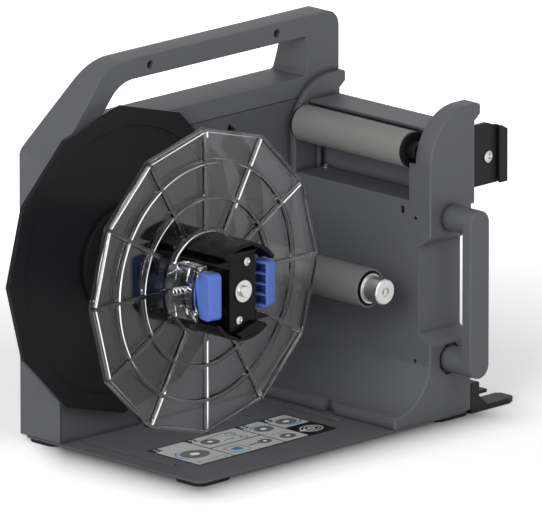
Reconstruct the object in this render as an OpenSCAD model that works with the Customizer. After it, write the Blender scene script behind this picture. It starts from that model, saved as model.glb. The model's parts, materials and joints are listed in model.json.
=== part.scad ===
// Label rewinder: a motor-driven take-up spindle between two twelve-sided flanges, with a swinging
// tension roller, a fixed guide roller in a tower, and hooks that dock it to a printer.
// X runs along the housing, -Y points out along the spindle, +Z is up. The origin is on the
// floor, in the middle of the whole machine's outline.

/* [Base] */
// Height of the rubber feet
foot_height = 2.5; // [2:0.5:8]
// Length of a rubber foot along the housing
foot_side = 36; // [20:1:50]
// Thickness of the steel base plate
plate_thickness = 1.5; // [1:0.5:5]
// Corner radius of the base plate
plate_corner = 8; // [3:1:20]
// How far the base plate reaches behind the housing's front face
plate_back = 36; // [25:1:40]
// Width of the two stiffening beads pressed into the base plate
bead_width = 6; // [3:0.5:12]
// Height of the stiffening beads
bead_height = 1; // [0.4:0.1:2]
// Reach of the beads from the housing's front face
bead_reach = 103; // [60:1:130]

/* [Housing] */
// Width of the housing
housing_width = 298; // [280:1:340]
// Depth of the housing at the bottom
housing_depth = 42.5; // [41:0.5:60]
// Height of the housing above the base plate
housing_height = 285.5; // [275:0.5:330]
// Height of the straight left edge, where the slanted leg starts
shoulder_height = 222; // [215:1:240]
// Slope of the slanted leg
slant_angle = 50; // [42:1:60]
// Wall thickness of the housing
housing_wall = 4; // [3:0.5:6]
// Height of the carrying bar
grip_height = 16; // [12:0.5:22]
// Depth of the carrying bar at its top
grip_depth = 22; // [16:0.5:30]
// Width of the slanted leg
leg_width = 19; // [14:0.5:26]
// Height of the hand opening's lower edge above the base plate
opening_bottom = 238.5; // [232:0.5:250]
// Width of the upright at the right of the hand opening
upright_width = 35; // [25:1:50]
// Height of the seam above which the housing has no front panel
seam_height = 223; // [221:0.5:228]
// Thickness of the front panel and of the rear cover
panel_thickness = 3; // [2:0.5:4]

/* [Spindle] */
// Distance of the spindle from the housing's left end
spindle_x = 53.9; // [52:0.1:58]
// Height of the spindle above the base plate
spindle_z = 136.4; // [130:0.1:145]
// Diameter of the spindle shaft
shaft_d = 12; // [10:0.5:14]
// Corner radius of the black rear flange
rear_flange_r = 119.6; // [100:0.1:122]
// Corner radius of the clear front flange
front_flange_r = 118.5; // [100:0.1:122]
// Distance of the rear flange's face from the housing's front face
rear_flange_face = 14; // [12:0.5:20]
// Distance of the front flange's outer edge from the housing's front face
front_flange_face = 103.5; // [95:0.5:110]
// Radius of the hub that carries the core
hub_r = 37.5; // [36:0.1:40]
// Distance of the hub's front plate from the housing's front face
hub_front = 141; // [138:0.5:146]
// How far the hub's arched shells stand in front of its plate
hub_visor = 4; // [2:0.5:8]
// Width of the hub's central block
core_width = 27; // [24:0.5:28]
// Height of the hub's central block
core_height = 54; // [48:1:56]
// Reach of the front flange's collar from its edge
collar_reach = 24.5; // [20:0.5:28]
// Radius of the inner ring rib of the front flange
ring_inner_r = 65; // [55:1:72]
// Radius of the outer ring rib of the front flange
ring_outer_r = 92; // [80:1:98]

/* [Squeeze levers] */
// Height of a lever's grip
lever_height = 36; // [30:0.5:40]
// Thickness of a lever's grip
lever_thickness = 11.2; // [9:0.2:12]
// Length of a lever from its pin to its tip
lever_length = 30; // [27:0.5:33]
// Angle at which the levers splay at rest
lever_splay = 14; // [13:0.5:16]
// Distance of a lever's pin from the spindle axis
lever_offset = 22.5; // [22.2:0.1:23]

/* [Tension arm] */
// Distance of the arm's pivot from the housing's left end
pivot_x = 120; // [117:0.5:125]
// Height of the arm's pivot above the base plate
pivot_z = 138.5; // [134:0.5:142]
// Length of the arm
arm_length = 88.5; // [85:0.5:91]
// Angle of the arm below level at its lower stop
arm_rest = 20.5; // [15:0.5:24]
// Swing of the arm above its lower stop
arm_travel = 58; // [40:1:60]
// Width of the curved slot in the front panel
slot_width = 20; // [17:0.5:24]
// Diameter of the tension roller
tension_roller_d = 30; // [28:0.5:34]
// Diameter of the tension roller's axle
axle_d = 20; // [16:0.5:22]
// How far the axle stands out of the roller
axle_nose = 16; // [8:0.5:20]

/* [Tower] */
// Distance of the tower's front wall from the housing's right end
tower_inset = 53; // [43:1:55]
// Width of the tower at its foot
tower_width = 44.5; // [40:0.5:48]
// Distance of the tower's outer face from the housing's front face
tower_depth = 150; // [148:1:165]
// Thickness of the outer cheek
cheek_thickness = 23; // [21:1:30]
// Thickness of the cheek beside the roller's end
cheek_top_thickness = 16; // [12:1:20]
// Thickness of the inner cheek on the housing
inner_cheek = 6; // [4:0.5:7]
// Radius of the cheek's rounded top
cheek_r = 41; // [38:0.5:43]
// Height of the shelf under the guide roller
shelf_height = 168; // [160:1:172]
// Depth of the roller bay
bay_depth = 30; // [24:1:32]
// Height of the guide roller's axis above the base plate
guide_roller_z = 206.1; // [203:0.1:208]
// Distance of the guide roller's axis behind the tower's front wall
guide_roller_back = 6; // [5:0.5:9]
// Diameter of the guide roller
guide_roller_d = 28; // [24:0.5:30]
// Radius of the foot's hollow curve
foot_curve = 38; // [30:1:44]
// Height of the lip at the toe of the tower
toe_height = 8.5; // [6:0.5:14]
// Wall thickness of the tower
tower_wall = 3; // [2:0.5:4]

/* [Side handle] */
// Diameter of the side handle's posts and width of its bar
side_handle_d = 20.6; // [16:0.2:22]
// Distance of the bar's face from the tower
side_handle_stand = 30.5; // [26:0.5:40]
// Thickness of the bar
side_bar = 8.5; // [6:0.5:11]
// Height of the lower post
side_handle_low = 44.5; // [42:0.1:50]
// Height of the upper post
side_handle_high = 155; // [150:0.1:158]
// Depth of the hand recess behind the bar
recess_depth = 12; // [6:0.5:13]

/* [Docking hooks] */
// Reach of the docking foot beyond the tower's back
dock_reach = 49; // [44:1:60]
// Reach of the upper bracket beyond the cheek
bracket_reach = 35.4; // [32:0.2:40]
// Height of the upper bracket
bracket_height = 48; // [44:1:52]
// Height of the upper bracket's lower edge
bracket_z = 172; // [164:1:174]
// Width of the lower docking foot
dock_foot_width = 19; // [18:1:30]

/* [Drive] */
// Teeth of the spindle gear
gear_teeth = 72; // [68:4:76]
// Teeth of the motor pinion
pinion_teeth = 20; // [16:4:24]
// Tooth module of the drive
gear_module = 1.25; // [1.2:0.01:1.3]
// Face width of the gears
gear_width = 7; // [5:0.5:8]
// Diameter of the motor
motor_d = 44; // [36:1:46]

/* [Hidden] */
$fn = 64;
// Running clearance of a shaft in a bore
run_gap = 0.05;
// Clearance of a fixed piece in its seat
seat_gap = 0.02;
// Clearance between pieces that move past each other
move_gap = 0.3;
// Width of a visible seam
seam = 0.3;
// Overlap that makes two joined shapes one solid
weld = 0.5;
// Amount by which a full round stays short of half a width
hair = 0.01;
// Largest turn between two points of a rounded corner
arc_step = 7.5;

base_top = foot_height + plate_thickness;
tower_x = housing_width - tower_inset;
tower_back = tower_x + tower_width;
cheek_back = tower_back + 3.5;
nose_x = cheek_back + 6;
dock_tip = tower_back + dock_reach;

spindle = [spindle_x, base_top + spindle_z];
arm_pivot = [pivot_x, base_top + pivot_z];
roller_axis = arm_pivot + arm_length * [cos(arm_rest), -sin(arm_rest)];
guide_axis = [tower_x + guide_roller_back, base_top + guide_roller_z];
side_handle_x = tower_x + tower_width / 2;

origin_x = (spindle_x - rear_flange_r + dock_tip) / 2;
origin_y = (housing_depth - tower_depth - side_handle_stand) / 2;

// Inside of the housing
cavity_top = base_top + seam_height - 3.4;
rear_cavity_top = base_top + shoulder_height - 12;
chassis_top = min(cavity_top, rear_cavity_top);
rear_rebate = 2;
post_side = 14;
chassis_thickness = 2;
chassis_y = 16;
chassis_right = 151;
cover_y = housing_depth - panel_thickness;
post_x = [housing_wall, chassis_right - post_side + 1, housing_width - housing_wall - post_side];
post_z = [base_top + housing_wall, chassis_top - post_side];

// Screws: shank radius, head radius and head height
screw_r = 1.5;
screw_bore_r = screw_r + run_gap;
screw_head_r = 3;
screw_head_h = 2;

// Layers between the front panel and the chassis
arm_y0 = 5.2;
arm_thickness = 5;
arm_boss_r = 10;
shield_r = 24;
shield_y0 = panel_thickness + 0.4;
gear_y0 = 5.5;
axle_spigot_d = 14;
pivot_pin_d = 8;
pivot_head_r = 7;
pivot_head_h = 1.3;

// Drive
gear_pitch_r = gear_module * gear_teeth / 2;
pinion_pitch_r = gear_module * pinion_teeth / 2;
backlash = 0.12;
motor_axis = spindle - [0, gear_pitch_r + pinion_pitch_r];
motor_shaft_r = 2.5;
motor_boss_r = 11;
motor_boss_h = 4;
motor_shaft_in = 11.5;
motor_screw_length = 7;
motor_length = cover_y - chassis_y - chassis_thickness - 1.5;
gear_holes = 6;
gear_hole_ring = 0.62 * gear_pitch_r;
gear_hole_r = 0.16 * gear_pitch_r;

// Bearing housing
bearing_d = 28;
bearing_width = 8;
bearing_tube_d = 36;
bearing_flange_d = 54;
bearing_flange_h = 4;
bearing_tube_h = 20;
bearing_inset = 1;
bearing_ring = 2;
shield_groove = 0.6;
shaft_room = shaft_d / 2 + 4;
bearing_y0 = chassis_y + chassis_thickness;
bearing_y1 = bearing_y0 + bearing_tube_h;
bearing_starts = [bearing_y0 + bearing_inset, bearing_y1 - bearing_inset - bearing_width];
chassis_screw_length = 5;

// Flanges and hub
flange_thickness = 4;
dish_r = rear_flange_r - 16.6;
dish_depth = 1.5;
boss_r = hub_r + 5.5;
boss_height = 3;
hub_back = rear_flange_face + boss_height;
hub_wall = 3;
hook_gap = 0.3;
arch_start = 36;
arch_end = 127;
hook_root = 8.5;
hook_tip = 3.2;
hook_edge = 1.4;
hook_z = core_height / 2 - hook_tip;
hook_x = sqrt(pow(hub_r - hook_gap, 2) - pow(hook_z + hook_edge, 2));
flange_web = 2.5;
rim_depth = 6;
rib_width = 3;
collar_gap = 0.5;
collar_wall = 3;
flange_back = front_flange_face - rim_depth;
collar_front = front_flange_face + collar_reach;
bolt_r = 3;
bolt_head_r = 4.4;
bolt_head_h = 3;
bolt_length = 17;
hub_plate = 2;
hub_screw_length = 9;
hub_screw_head = 3.2;
washer_r = 8.5;
washer_h = 1.5;

// Levers
pin_r = 2;
pin_y = front_flange_face + 9.5;
pin_end = 5;
lever_root_height = 19;
lever_root_half = 4;
flare_start = 10;
flare_end = 16;
tail_length = 10.5;
tail_pad = 6;
tail_pad_start = 6;
lever_skin = 2.5;
lever_ribs = 3;
lever_rib = 1.6;
ear_height = 8.8;
ear_z = lever_root_height / 2 + move_gap;
pin_half = ear_z + pin_end;
ear_inner = 5.5;
ear_front = pin_y + 7.4;
collar_half = ear_z + ear_height + 1.8;
spring_back = 5.9;
spring_cup_r = 4.2;
spring_cup_depth = 3;
spring_cup_y = 5.5;
spring_foot = 1.1;
spring_end = 0.15;

// Rollers
roller_gap = 4;
roller_start = inner_cheek + roller_gap;
roller_end = tower_depth - cheek_top_thickness - 6;
roller_wall = 1.5;
bush_length = 10;
cap_flange = 2;
cap_neck_r = 7.5;
cap_spigot = 8;
cap_gap = 0.4;
guide_shaft_r = 3;
guide_wall = 2;

// Tower
bay_top = base_top + seam_height - 3.5;
top_plate = 2.5;
recess_z0 = base_top + side_handle_low + side_handle_d / 2 + 2.7;
recess_z1 = base_top + side_handle_high - side_handle_d / 2 - 2.8;
recess_slope = 8.5;

// Base plate, housing and their screws
toe_x = tower_x - foot_curve;
bead_x = [20, toe_x - 10];
rear_corner = 1.5;
foot_depth = 30;
base_head_h = 1.5;
housing_screw_points = [for (t = [0.2, 0.5, 0.8]) [t * tower_back, plate_back - 8]];
toe_screw_points = [for (y = [-tower_depth + 30, -30]) [toe_x + foot_curve / 2, y]];
base_screw_points = concat(housing_screw_points, toe_screw_points);
base_screw_length = housing_wall - 0.5;
slant_run = (housing_height - shoulder_height) / tan(slant_angle);
opening_top = housing_height - grip_height;
handle_screw_points = [
    [slant_run + 43.5, base_top + housing_height - grip_height / 2],
    [housing_width - 66.5, base_top + housing_height - grip_height / 2]
];
handle_bore_r = screw_head_r + 0.2;
handle_bore_depth = 6;
handle_screw_length = 7;
cover_screw_length = 9;
post_bore = 12;
slot_low = -arm_rest - 7.5;
slot_high = arm_travel - arm_rest + 14.5;
neck_r = shaft_d / 2 + 6;
cover_gap = 0.2;
cover_edge = rear_rebate + cover_gap;
cover_screw_points = [for (x = post_x, z = post_z) [x, z] + post_side / 2 * [1, 1]];
chassis_screw_points = [for (x = [post_x[0], post_x[1]], z = post_z) [x, z] + post_side / 2 * [1, 1]];

// Rear panel and control board
inlet_at = [housing_width - 60, base_top + 34];
inlet_r = 6;
inlet_depth = 9;
inlet_flange = 2;
inlet_bore_r = 3.2;
inlet_pin_r = 1;
switch_at = [housing_width - 100, base_top + 34];
switch_size = [13, 21];
switch_low = switch_at - switch_size / 2;
switch_high = switch_at + switch_size / 2;
switch_depth = 14;
switch_clip = 1.5;
switch_clip_h = 3;
rocker_r = 8;
rocker_y = housing_depth - 5.5;
rocker_half = switch_size[0] / 2 - 2;
rocker_room = rocker_half + move_gap;
rocker_room_r = rocker_r + move_gap;
rocker_flat = 5;
rocker_tilt = 20;
board_x0 = housing_width - 120;
board_size = [84, 62];
board_z0 = base_top + 80;
board_y = cover_y - 8;
board_thickness = 1.6;
board_edge = 5;
board_points = [
    for (x = [board_edge, board_size[0] - board_edge], z = [board_edge, board_size[1] - board_edge])
        [board_x0 + x, board_z0 + z]
];
standoff_r = 3;
standoff_grip = 2;
capacitor_x = [16, 28, 40];
capacitor_z = 16;
capacitor_r = 4.5;
capacitor_h = 13;
chip_low = [52, 10];
chip_size = [18, 18];
chip_h = 5;
header_low = [14, 44];
header_size = [54, 7];
header_h = 8;

// Drive fasteners
bearing_bolt_r = (bearing_tube_d + bearing_flange_d) / 4;
bearing_points = [for (a = [45:90:315]) spindle + bearing_bolt_r * [cos(a), sin(a)]];
motor_points = [for (s = [-1, 1]) motor_axis + [s * (motor_boss_r + motor_d / 2) / 2, 0]];

// Tension roller and its spring
axle_collar = 2;
axle_collar_r = axle_d / 2 + axle_collar;
axle_tip = -roller_end - axle_nose;
axle_chamfer = 0.9;
face_groove_out = 3.6;
face_groove_in = 2;
face_groove_depth = 1.2;
clip_thickness = 0.9;
clip_rise = 1.6;
bush_inset = 0.8;
coil_steps = 8;
coil_sides = 6;
spring_wire_r = 0.6;
spring_pitch = 1.7;
spring_turns = 2;
spring_coil_r = pivot_pin_d / 2 + 2.6;
spring_leg = 12;

// Cheeks, bay and covers of the tower
cheek_z = guide_roller_z - 8.6;
nose_under = cheek_z + cheek_r - 8.5;
nose_slope = 0.8;
cheek_step_z = shelf_height - 7;
bay_back = tower_x + bay_depth;
cavity_y0 = -tower_depth + cheek_thickness + tower_wall;
notch_y = -85;
notch_width = 11;
notch_depth = 7;
bay_rib = 2.5;
bay_rib_x = bay_back - 4;
bay_screw = [bay_back - 3, -inner_cheek - 6];
bay_screw_r = 2.6;
sight_slot = [3.5, 5.5];
sight_slot_y = cavity_y0 + 2;
sight_slot_z = base_top + shelf_height - 2 * sight_slot[1];
dowel_y = -tower_depth + 16;
dowel_depth = 7;
shaft_y0 = -tower_depth + 6;
shaft_y1 = -1.5;
cover_thick = 3;
cover_ledge = 2;
cover_post = 10;
tower_screw_grip = 9;
socket_depth = 2;
socket_r = side_handle_d / 2 + 2.2;
handle_bolt_r = 2.5;
handle_bolt_head = 3.5;
cavity_y1 = -inner_cheek - cover_ledge;
tower_cover_y0 = cavity_y0 - cover_ledge + cover_gap;
tower_cover_y1 = cavity_y1 + cover_ledge - cover_gap;
tower_screw_points = [for (y = [cavity_y0 + cover_post / 2 - weld, cavity_y1 - cover_post / 2 + weld],
                           z = [base_top + 28, base_top + shelf_height - 28]) [y, z]];
post_points = [for (z = [side_handle_low, side_handle_high]) [side_handle_x, base_top + z]];
dowel_points = [for (z = [side_handle_low - 1, side_handle_high + 0.4]) base_top + z];
guide_plate_gap = 8.5;
guide_r = guide_roller_d / 2;
guide_outer = -tower_depth + cheek_thickness + 1 + cap_flange;
guide_inner = -inner_cheek - roller_gap;
bar_y = -tower_depth - side_handle_stand;

// Docking hooks
bracket_y0 = -tower_depth + 4;
bracket_thick = 4;
bracket_low = base_top + bracket_z;
bracket_top = bracket_low + bracket_height;
bracket_tip = cheek_back + bracket_reach;
bracket_drop = 3.4;
dock_hook = 8.4;
dock_hook_wall = 2;
hook_y0 = bracket_y0 - 2 * dock_hook_wall;
bracket_screw = [cheek_back + 18, bracket_low + bracket_height * 0.45];
bracket_screw_r = 2;
bracket_head_r = 4.6;
bracket_nut_h = 2.5;
bracket_flange = 3;
bracket_fix_r = 1.25;
bracket_fix_head = 2.2;
bracket_fix_grip = 8;
bracket_fix_y = bracket_y0 + bracket_thick + 3.8;
bracket_fix_z = [bracket_low + 9, bracket_top - 9];
floor_gap = 0.4;
dock_foot_y0 = -tower_depth;
dock_foot_top = base_top + 20.5;
dock_block = 9.2;
dock_slope = 8.3;
dock_cut = 3.5;
tongue_top = floor_gap + 4.5;
dock_tab = 27.3;
dock_tab_h = 2.8;
dock_tab_z = floor_gap + 10.1;
dock_screw_grip = 12;
dock_screw_points = [for (y = [4.5, dock_foot_width - 4.5]) [dock_foot_y0 + y, dock_foot_top - 4.5]];

// Hub screws, collar and lever springs
hub_screw_points = [for (s = [-1, 1]) spindle + s * [4, core_height / 2 - 5]];
collar_r = hub_r + collar_gap;
lever_spring_r = 2.6;
lever_spring_wire = 0.4;
lever_spring_turns = 5;
lever_spring_foot = lever_offset + spring_foot;
lever_spring_length = collar_r - spring_end - lever_spring_foot;
lever_spring_pitch = (lever_spring_length - 2 * lever_spring_wire) / lever_spring_turns;
pocket_height = (lever_height - 2 * lever_skin - lever_ribs * lever_rib) / (lever_ribs + 1);

echo(arm_spring_gap = coil_gap(spring_coil_r, spring_wire_r, spring_pitch, spring_turns));
echo(lever_spring_gap = coil_gap(lever_spring_r, lever_spring_wire, lever_spring_pitch, lever_spring_turns));

// Puts the machine's own corner-based sizes into the part's frame.
module placed() translate([-origin_x, -origin_y, 0]) children();

// An outline in X and Z, carried along Y from y0 to y1.
module along_y(y0, y1)
    translate([0, y1, 0]) rotate([90, 0, 0]) linear_extrude(y1 - y0) children();

// An outline in Y and Z, carried along X from x0 to x1.
module along_x(x0, x1)
    translate([x0, 0, 0]) rotate([90, 0, 90]) linear_extrude(x1 - x0) children();

// An outline in X and Y, carried upwards from z0 to z1.
module along_z(z0, z1)
    translate([0, 0, z0]) linear_extrude(z1 - z0) children();

module rod_x(y, z, x0, x1, r)
    translate([x0, y, z]) rotate([0, 90, 0]) cylinder(r = r, h = x1 - x0);

// A round rod along Y through the point p in X and Z.
module rod_y(p, y0, y1, r)
    translate([p[0], y1, p[1]]) rotate([90, 0, 0]) cylinder(r = r, h = y1 - y0);

module rod_z(x, y, z0, z1, r)
    translate([x, y, z0]) cylinder(r = r, h = z1 - z0);

// A ring along Y through the point p in X and Z.
module ring_y(p, y0, y1, r_out, r_in)
    difference() {
        rod_y(p, y0, y1, r_out);
        rod_y(p, y0 - 1, y1 + 1, r_in);
    }

module block(low, high) translate(low) cube(high - low);

function unit(v) = v / norm(v);

// The points of one corner of an outline: the corner itself, or an arc of radius p[2] tangent to both sides.
function corner_points(a, p, b) =
    p[2] == 0 ? [[p[0], p[1]]] :
    let (
        here = [p[0], p[1]],
        u = unit([a[0], a[1]] - here),
        v = unit([b[0], b[1]] - here),
        half = acos(u * v) / 2,
        centre = here + unit(u + v) * p[2] / sin(half),
        start = here + u * p[2] / tan(half) - centre,
        sweep = -sign(cross(u, v)) * (180 - 2 * half),
        steps = ceil(abs(sweep) / arc_step)
    )
    [for (i = [0:steps])
        let (t = sweep * i / steps)
        centre + [start[0] * cos(t) - start[1] * sin(t), start[0] * sin(t) + start[1] * cos(t)]];

// An outline from corners [x, y, radius].
function rounded(corners) =
    let (n = len(corners))
    [for (i = [0:n - 1])
        each corner_points(corners[(i + n - 1) % n], corners[i], corners[(i + 1) % n])];

// A rectangle with round corners.
module rounded_box(x0, y0, x1, y1, r)
    polygon(rounded([[x0, y0, r], [x1, y0, r], [x1, y1, r], [x0, y1, r]]));

// A pan-head screw along +Y, whose head's underside is at y.
module screw_y(p, y, length, head_r = screw_head_r, shank_r = screw_r) {
    difference() {
        rod_y(p, y - screw_head_h, y, head_r);
        rod_y(p, y - screw_head_h - 1, y - screw_head_h / 2, head_r / 2.2);
    }
    rod_y(p, y - weld, y + length, shank_r);
}

// The same screw driven the other way, along -Y.
module screw_back(p, y, length)
    translate([0, 2 * y, 0]) mirror([0, 1, 0]) screw_y(p, y, length);

// Coil spring along +Z from the origin: a round wire on a helix, as one closed tube, whose two ends
// may run on as straight legs.
function coil_point(a, r, z) = [r * cos(a), r * sin(a), z];

// Least gap between two turns of a coil, measured on the points of its centre line.
function coil_gap(coil_r, wire_r, pitch, turns) =
    let (
        line = [for (i = [0:coil_steps * turns])
            coil_point(360 * i / coil_steps, coil_r, pitch * i / coil_steps)]
    )
    min([for (i = [0:len(line) - 1], j = [0:len(line) - 1])
        if (j - i >= coil_steps - 1) norm(line[j] - line[i])]) - 2 * wire_r;

module coil(coil_r, wire_r, pitch, turns, leg = 0) {
    rise = pitch / 360;
    lean = atan(pitch / (2 * PI * coil_r));
    last_angle = 360 * turns;
    stations = concat(
        leg == 0 ? [] : [[0, -leg]],
        [for (i = [0:coil_steps * turns]) [360 * i / coil_steps, 0]],
        leg == 0 ? [] : [[last_angle, leg]]
    );
    points = [for (s = stations, j = [0:coil_sides - 1])
        let (
            b = 360 * j / coil_sides,
            level = [-sin(s[0]), cos(s[0]), 0],
            out = [cos(s[0]), sin(s[0]), 0],
            across = cross(out, cos(lean) * level + [0, 0, sin(lean)])
        )
        coil_point(s[0], coil_r, wire_r + rise * s[0]) + s[1] * level
            + wire_r * (cos(b) * out + sin(b) * across)];
    count = len(stations);
    walls = [for (i = [0:count - 2], j = [0:coil_sides - 1])
        let (
            k = (j + 1) % coil_sides,
            here = i * coil_sides,
            next = here + coil_sides
        )
        each [[here + j, here + k, next + k], [here + j, next + k, next + j]]];
    end = (count - 1) * coil_sides;
    caps = [for (j = [1:coil_sides - 2]) each [[0, j + 1, j], [end, end + j, end + j + 1]]];
    polyhedron(points, concat(walls, caps));
}

// Involute gear outline in X and Z, with a tooth on the +X axis.
function involute(base_r, angle) =
    base_r * [cos(angle) + angle * PI / 180 * sin(angle), sin(angle) - angle * PI / 180 * cos(angle)];
function turned(p, a) = [p[0] * cos(a) - p[1] * sin(a), p[0] * sin(a) + p[1] * cos(a)];
function gear_points(teeth, pressure = 20, steps = 4) =
    let (
        pitch_r = gear_module * teeth / 2,
        base_r = pitch_r * cos(pressure),
        tip_r = pitch_r + gear_module,
        root_r = pitch_r - 1.25 * gear_module,
        start_r = max(base_r, root_r + 0.05),
        roll_start = sqrt(pow(start_r / base_r, 2) - 1) * 180 / PI,
        roll_tip = sqrt(pow(tip_r / base_r, 2) - 1) * 180 / PI,
        pitch_turn = tan(pressure) * 180 / PI - pressure,
        half_tooth = 90 / teeth - backlash / 2 / pitch_r * 180 / PI + pitch_turn,
        flank = [for (i = [0:steps]) involute(base_r, roll_start + (roll_tip - roll_start) * i / steps)]
    )
    [for (k = [0:teeth - 1])
        let (at = 360 * k / teeth)
        each concat(
            [root_r * [cos(at - 180 / teeth * 0.72), sin(at - 180 / teeth * 0.72)]],
            [for (p = flank) turned(p, at - half_tooth)],
            [for (i = [steps:-1:0]) turned([flank[i][0], -flank[i][1]], at + half_tooth)],
            [root_r * [cos(at + 180 / teeth * 0.72), sin(at + 180 / teeth * 0.72)]]
        )];

// Base

module bead(x)
    along_z(base_top - weld, base_top + bead_height)
        rounded_box(x - bead_width / 2, -bead_reach, x + bead_width / 2, -bead_width, bead_width / 2 - hair);

module base_plate() color("dimgray") {
    difference() {
        union() {
            along_z(foot_height, base_top)
                polygon(rounded([
                    [0, -tower_depth, plate_corner], [tower_back, -tower_depth, plate_corner],
                    [tower_back, plate_back, rear_corner], [0, plate_back, rear_corner]
                ]));
            for (x = bead_x) bead(x);
        }
        for (p = base_screw_points)
            rod_z(p[0], p[1], foot_height - 1, base_top + 1, screw_bore_r);
    }
}

module rubber_feet() color("black")
    for (x = [0, tower_back - foot_side], y = [-tower_depth, plate_back - foot_depth])
        along_z(0, foot_height)
            rounded_box(x, y, x + foot_side, y + foot_depth, plate_corner);

// Screws that hold the housing and the tower from below; their heads lie under the plate.
module base_screws() color("silver")
    for (p = base_screw_points) {
        rod_z(p[0], p[1], foot_height - base_head_h, foot_height, screw_head_r);
        rod_z(p[0], p[1], foot_height - weld, base_top + base_screw_length, screw_r);
    }

// Housing

function leg_inner(z) = (z - shoulder_height) / tan(slant_angle) + leg_width / sin(slant_angle);

module housing_outline()
    translate([0, base_top])
        polygon(rounded([
            [0, 0, 1], [housing_width, 0, 1], [housing_width, housing_height, 13],
            [slant_run, housing_height, 40], [0, shoulder_height, 14]
        ]));

module opening_outline()
    translate([0, base_top])
        polygon(rounded([
            [leg_inner(opening_bottom), opening_bottom, 4],
            [housing_width - upright_width, opening_bottom, 2.5],
            [housing_width - upright_width, opening_top, 2.5],
            [leg_inner(opening_top), opening_top, 30]
        ]));

// Depth of the housing: upright at the back up to the shoulder, then leaning forward to the bar.
module housing_side()
    polygon([
        [0, base_top - 1], [housing_depth, base_top - 1], [housing_depth, base_top + shoulder_height - 2.6],
        [grip_depth, base_top + housing_height], [grip_depth, base_top + housing_height + 1],
        [0, base_top + housing_height + 1]
    ]);

module main_shell() color("dimgray") {
    difference() {
        intersection() {
            along_y(0, housing_depth) housing_outline();
            along_x(-1, housing_width + 1) housing_side();
        }
        along_y(-1, housing_depth + 1) opening_outline();
        block([rear_rebate - seam, -1, base_top - 1],
              [housing_width - rear_rebate + seam, panel_thickness, base_top + seam_height + seam]);
        block([housing_wall, 0, base_top + housing_wall],
              [housing_width - housing_wall, chassis_y, cavity_top]);
        block([housing_wall, chassis_y - 1, base_top + housing_wall],
              [housing_width - housing_wall, housing_depth + 1, rear_cavity_top]);
        block([rear_rebate, cover_y, base_top + rear_rebate],
              [housing_width - rear_rebate, housing_depth + 1, rear_cavity_top + rear_rebate]);
        for (p = handle_screw_points) {
            rod_y(p, -1, handle_bore_depth + screw_head_h, handle_bore_r);
            rod_y(p, 0, handle_bore_depth + screw_head_h + handle_screw_length, screw_bore_r);
        }
        for (p = housing_screw_points)
            rod_z(p[0], p[1], base_top - 1, base_top + housing_wall + 1, screw_bore_r);
    }
    for (x = post_x, z = post_z) mounting_post(x, z);
}

// Square post in the housing: the rear cover screws into its back, the chassis into its front.
module mounting_post(x, z)
    difference() {
        block([x - weld * (x < housing_width / 2 ? 1 : 0), chassis_y + chassis_thickness, z - weld],
              [x + post_side + weld * (x < housing_width / 2 ? 0 : 1), cover_y,
               weld + (z == post_z[0] ? z + post_side : rear_cavity_top)]);
        rod_y([x, z] + post_side / 2 * [1, 1], chassis_y, chassis_y + post_bore, screw_bore_r);
        rod_y([x, z] + post_side / 2 * [1, 1], cover_y - cover_screw_length, cover_y + 1, screw_bore_r);
    }

module arm_slot()
    translate(arm_pivot)
        intersection() {
            difference() {
                circle(arm_length + slot_width / 2);
                circle(arm_length - slot_width / 2);
            }
            polygon([for (t = [0, 0.25, 0.5, 0.75, 1]) slot_reach(t), [0, 0]]);
        }

function slot_reach(t) =
    2 * arm_length * [cos(slot_low + t * (slot_high - slot_low)), sin(slot_low + t * (slot_high - slot_low))];

module front_panel() color("gray")
    along_y(0, panel_thickness)
        difference() {
            translate([0, base_top])
                square_at(rear_rebate, 0, housing_width - rear_rebate, seam_height);
            arm_slot();
            translate(spindle) circle(neck_r + 2);
        }

module square_at(x0, y0, x1, y1) translate([x0, y0]) square([x1 - x0, y1 - y0]);

module rear_cover() color("dimgray")
    difference() {
        block([cover_edge, cover_y, base_top + cover_edge],
              [housing_width - cover_edge, housing_depth, rear_cavity_top + rear_rebate - cover_gap]);
        rod_y(inlet_at, cover_y - 1, housing_depth + 1, inlet_r + seat_gap);
        block([switch_low[0] - seat_gap, cover_y - 1, switch_low[1] - seat_gap],
              [switch_high[0] + seat_gap, housing_depth + 1, switch_high[1] + seat_gap]);
        for (p = cover_screw_points) {
            rod_y(p, cover_y - 1, housing_depth + 1, screw_bore_r);
            rod_y(p, housing_depth - screw_head_h, housing_depth + 1, screw_head_r + run_gap);
        }
        for (p = board_points) rod_y(p, cover_y - 1, housing_depth + 1, screw_bore_r);
    }

module rear_cover_screws() color("silver")
    for (p = cover_screw_points) screw_back(p, housing_depth - screw_head_h, cover_screw_length);

module handle_screws() color("black")
    for (p = handle_screw_points) screw_y(p, handle_bore_depth + screw_head_h, handle_screw_length);

// Drive train inside the housing

module chassis_plate() color("silver")
    difference() {
        block([housing_wall + cover_gap, chassis_y, base_top + housing_wall + cover_gap],
              [chassis_right, chassis_y + chassis_thickness, chassis_top - cover_gap]);
        rod_y(spindle, chassis_y - 1, bearing_y0 + 1, shaft_room);
        rod_y(motor_axis, chassis_y - 1, bearing_y0 + 1, motor_boss_r + seat_gap);
        rod_y(arm_pivot, chassis_y - 1, bearing_y0 + 1, pivot_pin_d / 2 + seat_gap);
        for (p = concat(chassis_screw_points, bearing_points, motor_points))
            rod_y(p, chassis_y - 1, bearing_y0 + 1, screw_bore_r);
    }

module chassis_screws() color("silver")
    for (p = concat(chassis_screw_points, bearing_points)) screw_y(p, chassis_y, chassis_screw_length);

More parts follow.
